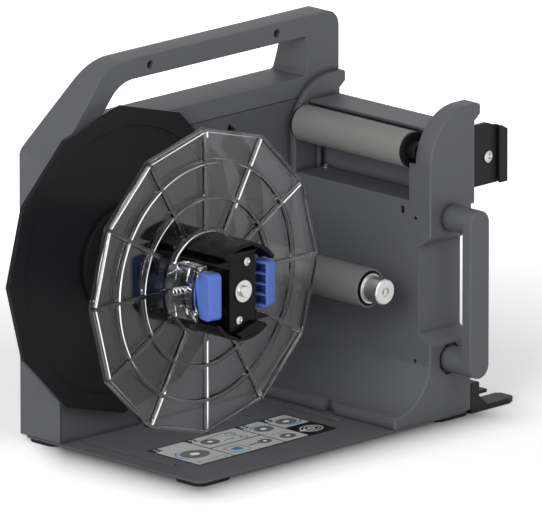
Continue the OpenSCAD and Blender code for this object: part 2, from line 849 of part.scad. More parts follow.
module bearing_housing() color("silver")
    difference() {
        union() {
            rod_y(spindle, bearing_y0, bearing_y0 + bearing_flange_h, bearing_flange_d / 2);
            rod_y(spindle, bearing_y0, bearing_y1, bearing_tube_d / 2);
        }
        rod_y(spindle, bearing_y0 - 1, bearing_y1 + 1, shaft_room);
        rod_y(spindle, bearing_y0 - 1, bearing_starts[0] + bearing_width, bearing_d / 2 + seat_gap);
        rod_y(spindle, bearing_starts[1], bearing_y1 + 1, bearing_d / 2 + seat_gap);
        for (p = bearing_points) rod_y(p, bearing_y0 - 1, bearing_y0 + bearing_flange_h + 1, screw_bore_r);
    }

// Two ball bearings, each with a shield groove on both faces.
module spindle_bearings() color("silver")
    for (y = bearing_starts)
        difference() {
            ring_y(spindle, y, y + bearing_width, bearing_d / 2, shaft_d / 2 + run_gap);
            for (groove = [y - 1, y + bearing_width - shield_groove])
                ring_y(spindle, groove, groove + 1 + shield_groove,
                       bearing_d / 2 - bearing_ring, shaft_d / 2 + bearing_ring);
        }

module motor() color("dimgray")
    difference() {
        union() {
            rod_y(motor_axis, bearing_y0, bearing_y0 + motor_length, motor_d / 2);
            rod_y(motor_axis, chassis_y, chassis_y + motor_boss_h, motor_boss_r);
        }
        rod_y(motor_axis, chassis_y - 1, chassis_y + motor_shaft_in + weld, motor_shaft_r + run_gap);
        for (p = motor_points) rod_y(p, chassis_y, chassis_y + motor_screw_length + 1, screw_bore_r);
    }

module motor_screws() color("silver")
    for (p = motor_points) screw_y(p, chassis_y, motor_screw_length);

module motor_shaft() color("silver")
    rod_y(motor_axis, gear_y0 - weld, chassis_y + motor_shaft_in, motor_shaft_r);

module motor_pinion() color("goldenrod")
    translate([motor_axis[0], 0, motor_axis[1]])
        along_y(gear_y0, gear_y0 + gear_width)
            difference() {
                rotate(90 + 180 / pinion_teeth) polygon(gear_points(pinion_teeth));
                circle(motor_shaft_r + seat_gap);
            }

module drive_gear() color("ivory")
    translate([spindle[0], 0, spindle[1]])
        along_y(gear_y0, gear_y0 + gear_width)
            difference() {
                rotate(-90) polygon(gear_points(gear_teeth));
                circle(shaft_d / 2 + seat_gap);
                for (i = [1:gear_holes])
                    rotate(360 * i / gear_holes) translate([gear_hole_ring, 0]) circle(gear_hole_r);
            }

// Control board on the rear cover

module control_board() color("darkgreen")
    difference() {
        union() {
            block([board_x0, board_y - board_thickness, board_z0],
                  [board_x0 + board_size[0], board_y, board_z0 + board_size[1]]);
            for (x = capacitor_x)
                rod_y([board_x0 + x, board_z0 + capacitor_z],
                      board_y - capacitor_h, board_y - board_thickness + weld, capacitor_r);
            board_block(chip_low, chip_size, chip_h);
            board_block(header_low, header_size, header_h);
        }
        for (p = board_points) rod_y(p, board_y - board_thickness - 1, board_y + 1, screw_bore_r);
    }

// A plain component on the board's face, from its lower corner on the board.
module board_block(low, size, height)
    translate([board_x0 + low[0], board_y - height, board_z0 + low[1]])
        cube([size[0], height - board_thickness + weld, size[1]]);

module board_standoffs() color("goldenrod")
    for (p = board_points) {
        ring_y(p, board_y, cover_y, standoff_r, screw_bore_r);
        screw_y(p, board_y - board_thickness, cover_y - board_y + board_thickness + standoff_grip);
    }

// Round low-voltage socket with its centre pin, flush with the rear cover.
module power_inlet() color("black") {
    difference() {
        union() {
            rod_y(inlet_at, cover_y - inlet_depth, housing_depth, inlet_r);
            rod_y(inlet_at, cover_y - inlet_depth, cover_y, inlet_r + inlet_flange);
        }
        rod_y(inlet_at, housing_depth - inlet_depth, housing_depth + 1, inlet_bore_r);
    }
    rod_y(inlet_at, housing_depth - inlet_depth - weld, housing_depth - 1, inlet_pin_r);
}

module switch_body() color("black")
    difference() {
        union() {
            block([switch_low[0], cover_y - switch_depth, switch_low[1]],
                  [switch_high[0], housing_depth, switch_high[1]]);
            block([switch_low[0] - switch_clip, cover_y - switch_clip_h, switch_low[1]],
                  [switch_high[0] + switch_clip, cover_y, switch_high[1]]);
        }
        rod_x(rocker_y, switch_at[1], switch_at[0] - rocker_room, switch_at[0] + rocker_room, rocker_room_r);
    }

// Rocker: a drum on the switch's axis with two flats, one of which lies level with the cover.
module switch_rocker() color("black")
    difference() {
        rod_x(rocker_y, switch_at[1], switch_at[0] - rocker_half, switch_at[0] + rocker_half, rocker_r);
        for (tilt = [0, rocker_tilt])
            translate([switch_at[0], rocker_y, switch_at[1]]) rotate([tilt, 0, 0])
                block([-rocker_r, rocker_flat, -2 * rocker_r], [rocker_r, 2 * rocker_r, 2 * rocker_r]);
    }

// Tension arm

module arm_pivot_pin() color("silver") {
    rod_y(arm_pivot, arm_y0 - move_gap - weld, chassis_y + chassis_thickness, pivot_pin_d / 2);
    rod_y(arm_pivot, arm_y0 - move_gap - pivot_head_h, arm_y0 - move_gap, pivot_head_r);
}

module arm_spring() color("silver")
    translate([arm_pivot[0], chassis_y, arm_pivot[1]]) rotate([90, 0, 0])
        coil(spring_coil_r, spring_wire_r, spring_pitch, spring_turns, spring_leg);

module arm_link()
    translate(arm_pivot) rotate(-arm_rest) {
        circle(arm_boss_r);
        translate([arm_length, 0]) circle(arm_boss_r);
        square_at(0, -arm_boss_r * 0.7, arm_length, arm_boss_r * 0.7);
    }

module tension_arm() color("gray")
    along_y(arm_y0, arm_y0 + arm_thickness)
        difference() {
            arm_link();
            translate(arm_pivot) circle(pivot_pin_d / 2 + run_gap);
            translate(roller_axis) circle(axle_spigot_d / 2 + seat_gap);
        }

// Disc behind the curved slot that keeps dust out round the axle.
module slot_shield() color("gray")
    ring_y(roller_axis, shield_y0, arm_y0, shield_r, axle_spigot_d / 2 + seat_gap);

module tension_axle() color("silver")
    difference() {
        union() {
            rod_y(roller_axis, -roller_start + axle_collar, arm_y0 + arm_thickness, axle_spigot_d / 2);
            rod_y(roller_axis, axle_tip + axle_chamfer, -roller_start + axle_collar, axle_d / 2);
            rod_y(roller_axis, -roller_start + move_gap, -roller_start + axle_collar, axle_collar_r);
            translate([roller_axis[0], axle_tip + axle_chamfer, roller_axis[1]]) rotate([90, 0, 0])
                cylinder(r1 = axle_d / 2, r2 = axle_d / 2 - axle_chamfer, h = axle_chamfer);
        }
        ring_y(roller_axis, axle_tip - 1, axle_tip + face_groove_depth, face_groove_out, face_groove_in);
    }

module axle_clip() color("silver")
    ring_y(roller_axis, -roller_end - move_gap - clip_thickness, -roller_end - move_gap,
           axle_d / 2 + clip_rise, axle_d / 2 + seat_gap);

module tension_roller() color("darkgray")
    ring_y(roller_axis, -roller_end, -roller_start, tension_roller_d / 2, tension_roller_d / 2 - roller_wall);

module tension_roller_bushes() color("black")
    for (y = [-roller_end + bush_inset, -roller_start - bush_length - bush_inset])
        ring_y(roller_axis, y, y + bush_length,
               tension_roller_d / 2 - roller_wall - seat_gap, axle_d / 2 + run_gap);

// Tower

// Cheek: straight front edge, round shoulder and a hooked nose at the back.
module cheek_outline()
    translate([0, base_top]) {
        intersection() {
            translate([tower_x + cheek_r, cheek_z]) circle(cheek_r);
            square_at(tower_x, cheek_z, tower_x + cheek_r, cheek_z + cheek_r);
        }
        polygon(rounded([
            [tower_x, 0, 0], [tower_back, 0, 0], [tower_back, cheek_step_z, 0],
            [cheek_back, cheek_step_z, 1.5], [cheek_back, nose_under - nose_slope * (nose_x - cheek_back), 0],
            [nose_x, nose_under, 0], [nose_x, cheek_z + cheek_r, 2.5],
            [tower_x + cheek_r, cheek_z + cheek_r, 0], [tower_x + cheek_r, cheek_z, 0], [tower_x, cheek_z, 0]
        ]));
    }

module tower_profile()
    translate([0, base_top])
        polygon(concat(
            [[toe_x, 0], [toe_x, toe_height]],
            [for (t = [arc_step:arc_step:90])
                [toe_x + foot_curve * sin(t), toe_height + foot_curve * (1 - cos(t))]],
            [[tower_x, shelf_height], [tower_back, shelf_height], [tower_back, 0]]
        ));

// Hand recess in the outer cheek: a sloped pocket right through along X.
module recess_outline()
    polygon([
        [-tower_depth - 1, recess_z0 - recess_slope / recess_depth],
        [-tower_depth + recess_depth, recess_z0 + recess_slope],
        [-tower_depth + recess_depth, recess_z1 - recess_slope],
        [-tower_depth - 1, recess_z1 + recess_slope / recess_depth]
    ]);

module tower_shell() color("dimgray")
    difference() {
        union() {
            difference() {
                along_y(-tower_depth, 0) tower_profile();
                block([tower_x + tower_wall, cavity_y0, base_top + tower_wall],
                      [tower_back + 1, cavity_y1, base_top + shelf_height - tower_wall]);
            }
            along_y(-inner_cheek, 0) cheek_outline();
            along_y(-tower_depth, -tower_depth + cheek_top_thickness) cheek_outline();
            block([tower_x, -tower_depth + cheek_top_thickness - weld, base_top + shelf_height - weld],
                  [tower_back, -tower_depth + cheek_thickness, base_top + cheek_z]);
            block([bay_back, -tower_depth + cheek_top_thickness - weld, base_top + shelf_height - weld],
                  [bay_back + tower_wall, -inner_cheek + weld, bay_top]);
            block([bay_rib_x - tower_wall, -inner_cheek - bay_rib, base_top + shelf_height - weld],
                  [bay_rib_x, -inner_cheek + weld, base_top + cheek_z - bay_rib]);
            for (p = tower_screw_points)
                block([tower_back - cover_thick - post_side, p[0] - cover_post / 2, p[1] - cover_post / 2],
                      [tower_back - cover_thick, p[0] + cover_post / 2, p[1] + cover_post / 2]);
        }
        block([tower_back - cover_thick, cavity_y0 - cover_ledge, base_top + tower_wall - 1],
              [nose_x, cavity_y1 + cover_ledge, bay_top]);
        block([bay_back + tower_wall, cavity_y0, base_top + shelf_height - tower_wall - 1],
              [nose_x, cavity_y1, bay_top + 1]);
        along_x(toe_x - 1, nose_x + 1) recess_outline();
        block([toe_x - 1, notch_y, base_top - 1],
              [toe_x + notch_depth, notch_y + notch_width, base_top + toe_height + foot_curve / 8]);
        block([tower_x - 1, sight_slot_y, sight_slot_z],
              [tower_x + tower_wall + 1, sight_slot_y + sight_slot[0], sight_slot_z + sight_slot[1]]);
        for (z = dowel_points)
            rod_x(dowel_y, z, tower_x - 1, tower_x + dowel_depth, screw_r);
        rod_y(guide_axis, shaft_y0, -tower_depth + cheek_thickness + 1, guide_shaft_r + seat_gap);
        rod_y(guide_axis, -inner_cheek - 1, shaft_y1, guide_shaft_r + seat_gap);
        for (p = post_points) rod_y(p, -tower_depth - 1, cavity_y0 + 1, handle_bolt_r + run_gap);
        translate([post_points[0][0], -tower_depth + socket_depth, post_points[0][1]]) rotate([90, 0, 0])
            rotate(22.5) cylinder(r = socket_r, h = socket_depth + 1, $fn = 8);
        for (p = tower_screw_points)
            rod_x(p[0], p[1], tower_back - cover_thick - tower_screw_grip - weld, tower_back, screw_bore_r);
        for (p = dock_screw_points)
            rod_x(p[0], p[1], tower_back - dock_screw_grip - weld, tower_back + 1, screw_bore_r);
        for (z = bracket_fix_z)
            rod_x(bracket_fix_y, z, cheek_back - bracket_fix_grip - weld, cheek_back + 1,
                  bracket_fix_r + run_gap);
        for (p = toe_screw_points)
            rod_z(p[0], p[1], base_top - 1, base_top + base_screw_length + 1, screw_bore_r);
    }

module tower_back_cover() color("dimgray")
    difference() {
        block([tower_back - cover_thick, tower_cover_y0, base_top + tower_wall - 1 + cover_gap],
              [tower_back, tower_cover_y1, bay_top]);
        for (p = tower_screw_points)
            rod_x(p[0], p[1], tower_back - cover_thick - 1, tower_back + 1, screw_bore_r);
    }

// A pan-head screw along -X, whose head's underside is at x.
module screw_x(p, x, length, head_r = screw_head_r, shank_r = screw_r) {
    difference() {
        rod_x(p[0], p[1], x, x + screw_head_h, head_r);
        rod_x(p[0], p[1], x + screw_head_h / 2, x + screw_head_h + 1, head_r / 2.2);
    }
    rod_x(p[0], p[1], x - length, x + weld, shank_r);
}

module tower_cover_screws() color("silver")
    for (p = tower_screw_points) screw_x(p, tower_back, cover_thick + tower_screw_grip);

module web_guide_plate() color("dimgray")
    block([guide_axis[0] + guide_plate_gap, -tower_depth + cheek_top_thickness + cover_gap, bay_top],
          [tower_back + 1, -inner_cheek - cover_gap, bay_top + top_plate]);

module guide_plate_screw() color("silver")
    translate([bay_screw[0], bay_screw[1], base_top + shelf_height])
        cylinder(r = bay_screw_r, h = screw_head_h);

module guide_roller_shaft() color("silver")
    rod_y(guide_axis, shaft_y0 + cover_gap, shaft_y1 - cover_gap, guide_shaft_r);

module guide_roller() color("darkgray")
    ring_y(guide_axis, guide_outer, guide_inner, guide_r, guide_r - guide_wall);

// Black end caps: a flange on the roller's end, a spigot in its bore and a neck towards the cheek.
module guide_roller_caps() color("black") {
    difference() {
        union() {
            rod_y(guide_axis, guide_outer - cap_flange, guide_outer, guide_r - cap_gap);
            rod_y(guide_axis, guide_outer - weld, guide_outer + cap_spigot, guide_r - guide_wall - seat_gap);
            rod_y(guide_axis, -tower_depth + cheek_top_thickness + cap_gap, guide_outer - weld, cap_neck_r);
        }
        rod_y(guide_axis, -tower_depth, guide_outer + cap_spigot + 1, guide_shaft_r + run_gap);
    }
    difference() {
        union() {
            rod_y(guide_axis, guide_inner, guide_inner + cap_flange, guide_r - cap_gap);
            rod_y(guide_axis, guide_inner - cap_spigot, guide_inner + weld, guide_r - guide_wall - seat_gap);
            rod_y(guide_axis, guide_inner + weld, -inner_cheek - cap_gap, cap_neck_r);
        }
        rod_y(guide_axis, guide_inner - cap_spigot - 1, 1, guide_shaft_r + run_gap);
    }
}

// Side handle

module side_handle() color("dimgray")
    difference() {
        union() {
            along_y(bar_y, bar_y + side_bar) {
                for (p = post_points) translate(p) circle(side_handle_d / 2);
                square_at(side_handle_x - side_handle_d / 2, post_points[0][1],
                          side_handle_x + side_handle_d / 2, post_points[1][1]);
            }
            for (p = post_points) rod_y(p, bar_y + 1, -tower_depth, side_handle_d / 2);
            rod_y(post_points[0], -tower_depth - 1, -tower_depth + socket_depth, side_handle_d / 2);
        }
        for (p = post_points)
            rod_y(p, bar_y + side_bar, -tower_depth + socket_depth + 1, handle_bolt_r + run_gap);
    }

module side_handle_bolts() color("silver")
    for (p = post_points) {
        rod_y(p, bar_y + side_bar + seam, cavity_y0 + weld, handle_bolt_r);
        rod_y(p, cavity_y0, cavity_y0 + handle_bolt_head, 2 * handle_bolt_r);
    }

// Docking hooks

// Plate with a sloped top, whose end turns forward and back into a hook that is open towards the tower.
module dock_bracket() color("black")
    difference() {
        union() {
            along_y(bracket_y0, bracket_y0 + bracket_thick) bracket_outline();
            along_y(hook_y0, bracket_y0 + weld)
                intersection() {
                    bracket_outline();
                    square_at(bracket_tip - dock_hook_wall, bracket_low, bracket_tip, bracket_top);
                }
            along_y(hook_y0, hook_y0 + dock_hook_wall)
                intersection() {
                    bracket_outline();
                    square_at(bracket_tip - dock_hook, bracket_low, bracket_tip, bracket_top);
                }
            block([cheek_back, bracket_y0, bracket_low],
                  [cheek_back + bracket_flange, -tower_depth + cheek_top_thickness, bracket_top]);
        }
        rod_y(bracket_screw, bracket_y0 - 1, bracket_y0 + bracket_thick + 1, bracket_screw_r + run_gap);
        for (z = bracket_fix_z)
            rod_x(bracket_fix_y, z, cheek_back - 1, cheek_back + bracket_flange + 1, bracket_fix_r + run_gap);
    }

module bracket_outline()
    polygon([
        [cheek_back, bracket_low], [bracket_tip, bracket_low], [bracket_tip, bracket_top - 2 * bracket_drop],
        [bracket_tip - 0.7 * dock_hook, bracket_top - bracket_drop],
        [bracket_tip - dock_hook, bracket_top - bracket_drop],
        [cheek_back + bracket_reach / 2, bracket_top], [cheek_back, bracket_top]
    ]);

// The screw with its nut in the bracket's plate, and the two that hold the bracket on the cheek.
module dock_bracket_screws() color("silver") {
    screw_y(bracket_screw, bracket_y0, bracket_thick + bracket_nut_h + 1, bracket_head_r, bracket_screw_r);
    along_y(bracket_y0 + bracket_thick, bracket_y0 + bracket_thick + bracket_nut_h)
        translate(bracket_screw) circle(2 * bracket_screw_r, $fn = 6);
    for (z = bracket_fix_z)
        screw_x([bracket_fix_y, z], cheek_back + bracket_flange, bracket_flange + bracket_fix_grip,
                bracket_fix_head, bracket_fix_r);
}

module dock_foot() color("black")
    difference() {
        union() {
            dock_foot_body();
            block([tower_back + dock_block - weld, dock_foot_y0 + dock_foot_width / 2, dock_tab_z],
                  [tower_back + dock_tab, dock_foot_y0 + dock_foot_width, dock_tab_z + dock_tab_h]);
        }
        for (p = dock_screw_points)
            rod_x(p[0], p[1], tower_back - 1, tower_back + dock_block + 1, screw_bore_r);
    }

module dock_foot_screws() color("silver")
    for (p = dock_screw_points) screw_x(p, tower_back + dock_block, dock_block + dock_screw_grip);

// Block at the tower's back and a flat toe with cut corners, joined by a slope.
module dock_foot_body()
    intersection() {
        along_y(dock_foot_y0, dock_foot_y0 + dock_foot_width)
            polygon([
                [tower_back, floor_gap], [dock_tip, floor_gap], [dock_tip, tongue_top],
                [tower_back + 2 * dock_block, tongue_top],
                [tower_back + dock_block, tongue_top + dock_slope],
                [tower_back + dock_block, dock_foot_top - 1],
                [tower_back + dock_block - 1, dock_foot_top], [tower_back, dock_foot_top]
            ]);
        along_z(0, dock_foot_top + 1)
            translate([0, dock_foot_y0])
                polygon([
                    [tower_back, 0], [dock_tip - 2 * dock_cut, 0], [dock_tip, dock_cut],
                    [dock_tip, dock_foot_width - dock_cut], [dock_tip - dock_cut, dock_foot_width],
                    [tower_back, dock_foot_width]
                ]);
    }

// Spindle

module spindle_shaft() color("silver")
    difference() {
        rod_y(spindle, -hub_front + hub_plate, bearing_y1 - weld, shaft_d / 2);
        rod_y(spindle, -hub_front - 1, -hub_front + bolt_length + 1, bolt_r + seat_gap);
    }

module twelve_sided(r) circle(r, $fn = 12);

module rear_flange() color("black")
    translate([spindle[0], 0, spindle[1]])
        difference() {
            union() {
                along_y(-rear_flange_face, -rear_flange_face + flange_thickness) twelve_sided(rear_flange_r);
                along_y(-hub_back, -rear_flange_face + flange_thickness) circle(boss_r);
                along_y(-rear_flange_face, gear_y0) circle(neck_r);
            }
            along_y(-rear_flange_face - 1, -rear_flange_face + dish_depth)
                difference() {
                    circle(dish_r);
                    circle(boss_r - weld);
                }
            along_y(-hub_back - 1, gear_y0 + 1) circle(shaft_d / 2 + seat_gap);
        }

// One half of the hub, in the hub's own frame: an arch over the central block, the stem that joins
// them, a hooked bar that leaves a slit for the liner's end, and a brow over the front plate.
module hub_half() {
    half_w = core_width / 2;
    half_h = core_height / 2;
    along_y(-hub_front - hub_visor, -hub_back)
        intersection() {
            ring_outline(hub_r, hub_r - hub_wall);
            polygon([[0, 0], for (t = [0:0.25:1]) arch_reach(t)]);
        }
    along_y(-hub_front, -hub_back) {
        square_at(-half_w, half_h, half_w, hub_r - hub_wall);
        polygon([
            [-half_w + weld, half_h], [-half_w - seam, half_h], [-half_w - seam, half_h - hook_root],
            [-hook_x, hook_z], [-hook_x, hook_z + hook_edge],
            [-half_w - hub_wall, hook_z + hook_edge], [-half_w - hub_wall, half_h + hub_wall],
            [-half_w + weld, half_h + hub_wall]
        ]);
    }
    along_y(-hub_front - hub_visor, -hub_front)
        polygon([
            [-0.8 * half_w, half_h - 2.5], [-0.15 * half_w, half_h], [0.3 * half_w, half_h + 2.5],
            [0.8 * half_w, half_h + 4], [0.3 * half_w, hub_r - hub_wall + weld],
            [-half_w, hub_r - hub_wall - 1.5], [-1.5 * half_w, half_h + 1.2]
        ]);
}

function arch_reach(t) =
    let (a = arch_start + t * (arch_end - arch_start))
    2 * hub_r * [cos(a), sin(a)];

module hub_upper_shell() color([0.12, 0.12, 0.12])
    translate([spindle[0], 0, spindle[1]]) hub_half();

module hub_lower_shell() color([0.12, 0.12, 0.12])
    translate([spindle[0], 0, spindle[1]]) rotate([0, 180, 0]) hub_half();

module hub_core() color([0.12, 0.12, 0.12])
    difference() {
        along_y(-hub_front, -hub_back)
            translate(spindle)
                square_at(-core_width / 2, -core_height / 2, core_width / 2, core_height / 2);
        rod_y(spindle, -hub_front + hub_plate - seam, -hub_back + 1, shaft_d / 2 + seat_gap);
        rod_y(spindle, -hub_front - 1, -hub_front + hub_plate + 1, bolt_r + run_gap);
        for (p = hub_screw_points) rod_y(p, -hub_front - 1, -hub_front + hub_screw_length + 1, screw_bore_r);
    }

module hub_screws() color("silver")
    for (p = hub_screw_points) screw_y(p, -hub_front, hub_screw_length, hub_screw_head);

module hub_washer() color("silver")
    ring_y(spindle, -hub_front - washer_h, -hub_front, washer_r, bolt_r + run_gap);

module hub_bolt() color("silver") {
    rod_y(spindle, -hub_front - washer_h - bolt_head_h, -hub_front - washer_h, bolt_head_r);
    rod_y(spindle, -hub_front - washer_h - weld, -hub_front + bolt_length, bolt_r);
}

// Clear front flange

module front_flange() color("white", 0.4)
    translate([spindle[0], 0, spindle[1]])
        difference() {
            union() {
                along_y(-flange_back - flange_web, -flange_back)
                    difference() {
                        twelve_sided(front_flange_r);
                        circle(collar_r);
                    }
                along_y(-front_flange_face, -flange_back)
                    difference() {
                        twelve_sided(front_flange_r);
                        twelve_sided(front_flange_r - rib_width);
                    }
                along_y(-front_flange_face, -flange_back - weld) {
                    for (r = [ring_inner_r, ring_outer_r]) ring_outline(r + rib_width / 2, r - rib_width / 2);
                    ring_outline(collar_r + collar_wall, collar_r);
                    for (a = [0:30:330])
                        rotate(a)
                            square_at(collar_r + 1, -rib_width / 2, front_flange_r - weld, rib_width / 2);
                }
                along_y(-collar_front, -flange_back)
                    intersection() {
                        ring_outline(collar_r + collar_wall, collar_r);
                        square_at(-2 * collar_r, -collar_half, 2 * collar_r, collar_half);
                    }
                along_y(-ear_front, -flange_back)
                    intersection() {
                        circle(collar_r + weld);
                        for (s = [-1, 1], t = [-1, 1]) ear_outline(s, t);
                    }
            }
            for (s = [-1, 1])
                rod_z(s * lever_offset, -pin_y, -pin_half - seam, pin_half + seam, pin_r + seat_gap);
        }

module ring_outline(r_out, r_in)
    difference() {
        circle(r_out);
        circle(r_in);
    }

// One of the four ears inside the collar, which hold the levers' pins above and below them.
module ear_outline(side, up) {
    x0 = lever_offset - ear_inner;
    square_at(side > 0 ? x0 : -2 * collar_r, up > 0 ? ear_z : -ear_z - ear_height,
              side > 0 ? 2 * collar_r : -x0, up > 0 ? ear_z + ear_height : -ear_z);
}

module lever_pins() color("silver")
    for (s = [-1, 1])
        rod_z(spindle[0] + s * lever_offset, -pin_y, spindle[1] - pin_half, spindle[1] + pin_half, pin_r);

// Springs between the collar and the cups in the levers' tails.
module lever_springs() color("silver")
    for (s = [0, 1])
        translate([spindle[0], -pin_y + spring_back, spindle[1]]) mirror([s, 0, 0])
            translate([lever_spring_foot, 0, 0]) rotate([0, 90, 0])
                coil(lever_spring_r, lever_spring_wire, lever_spring_pitch, lever_spring_turns);

// A lever on its pin, unsplayed: its tip points to -Y and its outer face to +X.
module lever() {
    half_t = lever_thickness / 2;
    half_h = lever_height / 2;
    half_root = lever_root_height / 2;
    difference() {
        union() {
            along_x(-half_t, half_t)
                polygon(rounded([
                    [-flare_start, -half_root, 0], [-flare_start, half_root, 0],
                    [-flare_end, half_h, 3], [-lever_length, half_h, 4],
                    [-lever_length, -half_h, 4], [-flare_end, -half_h, 3]
                ]));
            along_x(-lever_root_half, lever_root_half)
                square_at(-flare_start - weld, -half_root, tail_length, half_root);
            block([-tail_pad, tail_pad_start, -half_root], [-lever_root_half + weld, tail_length, half_root]);
        }
        rod_z(0, 0, -lever_root_height, lever_root_height, pin_r + run_gap);
        rod_x(spring_cup_y, 0, lever_root_half - spring_cup_depth, lever_root_half + 1, spring_cup_r);
        for (i = [0:lever_ribs])
            block([-half_t - 1, -lever_length + lever_skin, pocket_z(i)],
                  [half_t - lever_skin, -flare_end - 1, pocket_z(i) + pocket_height]);
    }
}

function pocket_z(i) = -lever_height / 2 + lever_skin + i * (pocket_height + lever_rib);

module lever_right() color("royalblue")
    translate([spindle[0] + lever_offset, -pin_y, spindle[1]]) rotate(lever_splay) lever();

module lever_left() color("royalblue")
    translate([spindle[0] - lever_offset, -pin_y, spindle[1]]) mirror([1, 0, 0]) rotate(lever_splay) lever();

placed() base_plate();
placed() rubber_feet();
placed() base_screws();
placed() main_shell();
placed() front_panel();
placed() rear_cover();
placed() rear_cover_screws();
placed() handle_screws();
placed() chassis_plate();
placed() chassis_screws();
placed() bearing_housing();
placed() spindle_bearings();
placed() motor();
placed() motor_screws();
placed() control_board();
placed() board_standoffs();
placed() power_inlet();
placed() switch_body();
placed() switch_rocker();
placed() arm_pivot_pin();
placed() arm_spring();
placed() tower_shell();
placed() tower_back_cover();
placed() tower_cover_screws();
placed() web_guide_plate();
placed() guide_plate_screw();
placed() guide_roller_shaft();
placed() guide_roller();
placed() guide_roller_caps();
placed() side_handle();
placed() side_handle_bolts();
placed() dock_bracket();
placed() dock_bracket_screws();
placed() dock_foot();
placed() dock_foot_screws();
placed() spindle_shaft();
placed() rear_flange();
placed() hub_upper_shell();
placed() hub_lower_shell();
placed() hub_core();
placed() hub_screws();
placed() hub_washer();
placed() hub_bolt();
placed() drive_gear();
placed() motor_shaft();
placed() motor_pinion();
placed() front_flange();
placed() lever_pins();
placed() lever_springs();
placed() lever_left();
placed() lever_right();
placed() tension_arm();
placed() slot_shield();
placed() tension_axle();
placed() axle_clip();
placed() tension_roller();
placed() tension_roller_bushes();
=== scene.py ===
"""Looks of a label rewinder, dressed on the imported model: camera and light, finishes, rounded edges, and
the pieces that the model keeps plain, such as springs, screw heads and the numbered card on the base."""

import json
import math

import bmesh
import bpy
import numpy as np
from mathutils import Matrix, Vector
from mathutils.geometry import delaunay_2d_cdt


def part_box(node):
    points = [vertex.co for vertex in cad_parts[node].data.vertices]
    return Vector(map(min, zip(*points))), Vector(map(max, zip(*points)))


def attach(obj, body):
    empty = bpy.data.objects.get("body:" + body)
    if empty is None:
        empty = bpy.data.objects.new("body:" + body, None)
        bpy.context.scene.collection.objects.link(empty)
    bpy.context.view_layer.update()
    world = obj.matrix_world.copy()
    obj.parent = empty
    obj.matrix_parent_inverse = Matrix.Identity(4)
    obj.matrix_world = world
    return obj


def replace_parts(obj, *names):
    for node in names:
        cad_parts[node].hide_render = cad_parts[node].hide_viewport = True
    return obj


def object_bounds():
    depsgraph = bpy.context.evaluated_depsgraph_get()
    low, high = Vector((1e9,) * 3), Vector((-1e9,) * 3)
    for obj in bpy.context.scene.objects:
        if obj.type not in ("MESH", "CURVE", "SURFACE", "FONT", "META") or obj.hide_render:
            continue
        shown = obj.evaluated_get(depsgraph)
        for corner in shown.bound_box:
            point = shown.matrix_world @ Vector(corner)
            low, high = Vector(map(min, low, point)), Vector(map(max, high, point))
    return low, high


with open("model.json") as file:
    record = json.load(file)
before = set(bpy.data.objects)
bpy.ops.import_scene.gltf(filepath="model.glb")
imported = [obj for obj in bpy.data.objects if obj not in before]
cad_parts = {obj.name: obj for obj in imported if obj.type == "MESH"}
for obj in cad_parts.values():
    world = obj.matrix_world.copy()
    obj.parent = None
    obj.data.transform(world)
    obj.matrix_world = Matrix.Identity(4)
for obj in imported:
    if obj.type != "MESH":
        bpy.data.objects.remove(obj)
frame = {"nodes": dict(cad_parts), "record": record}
cad_low, cad_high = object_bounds()
MM = 0.001
scene = bpy.context.scene
scene.view_settings.view_transform = "Standard"


# Camera: a long lens in front of the machine's left, a little above it

PICTURE_WIDTH = 542
FOCAL_PIXELS = 16000
PIXELS_PER_MM = 1.3293
SENSOR_MM = 36
VIEW_TURN = math.radians(45)
VIEW_RISE = math.radians(15)
AIM_RIGHT, AIM_UP = 159.04 * MM, 139.25 * MM
FAR_CLIP = 100


def add_camera():
    """Aims at a point given in the picture's plane, from the housing's lower front left corner."""
    corner = Vector((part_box("main_shell")[0].x, *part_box("front_panel")[0].yz))
    right = Vector((math.cos(VIEW_TURN), -math.sin(VIEW_TURN), 0))
    level = Vector((-math.sin(VIEW_TURN), -math.cos(VIEW_TURN), 0))
    back = level * math.cos(VIEW_RISE) + Vector((0, 0, math.sin(VIEW_RISE)))
    up = back.cross(right)
    data = bpy.data.cameras.new("camera")
    data.sensor_width = SENSOR_MM
    data.lens = FOCAL_PIXELS / PICTURE_WIDTH * SENSOR_MM
    data.clip_end = FAR_CLIP
    camera = bpy.data.objects.new("camera", data)
    distance = FOCAL_PIXELS / PIXELS_PER_MM * MM
    place = corner + AIM_RIGHT * right + AIM_UP * up + distance * back
    camera.matrix_world = Matrix.Translation(place) @ Matrix((right, up, back)).transposed().to_4x4()
    scene.collection.objects.link(camera)
    scene.camera = camera


# Node trees

MIX_FACTOR, MIX_FIRST, MIX_SECOND, MIX_COLOUR = 0, 6, 7, 2
WHITE, BLACK = (1, 1, 1, 1), (0, 0, 0, 1)


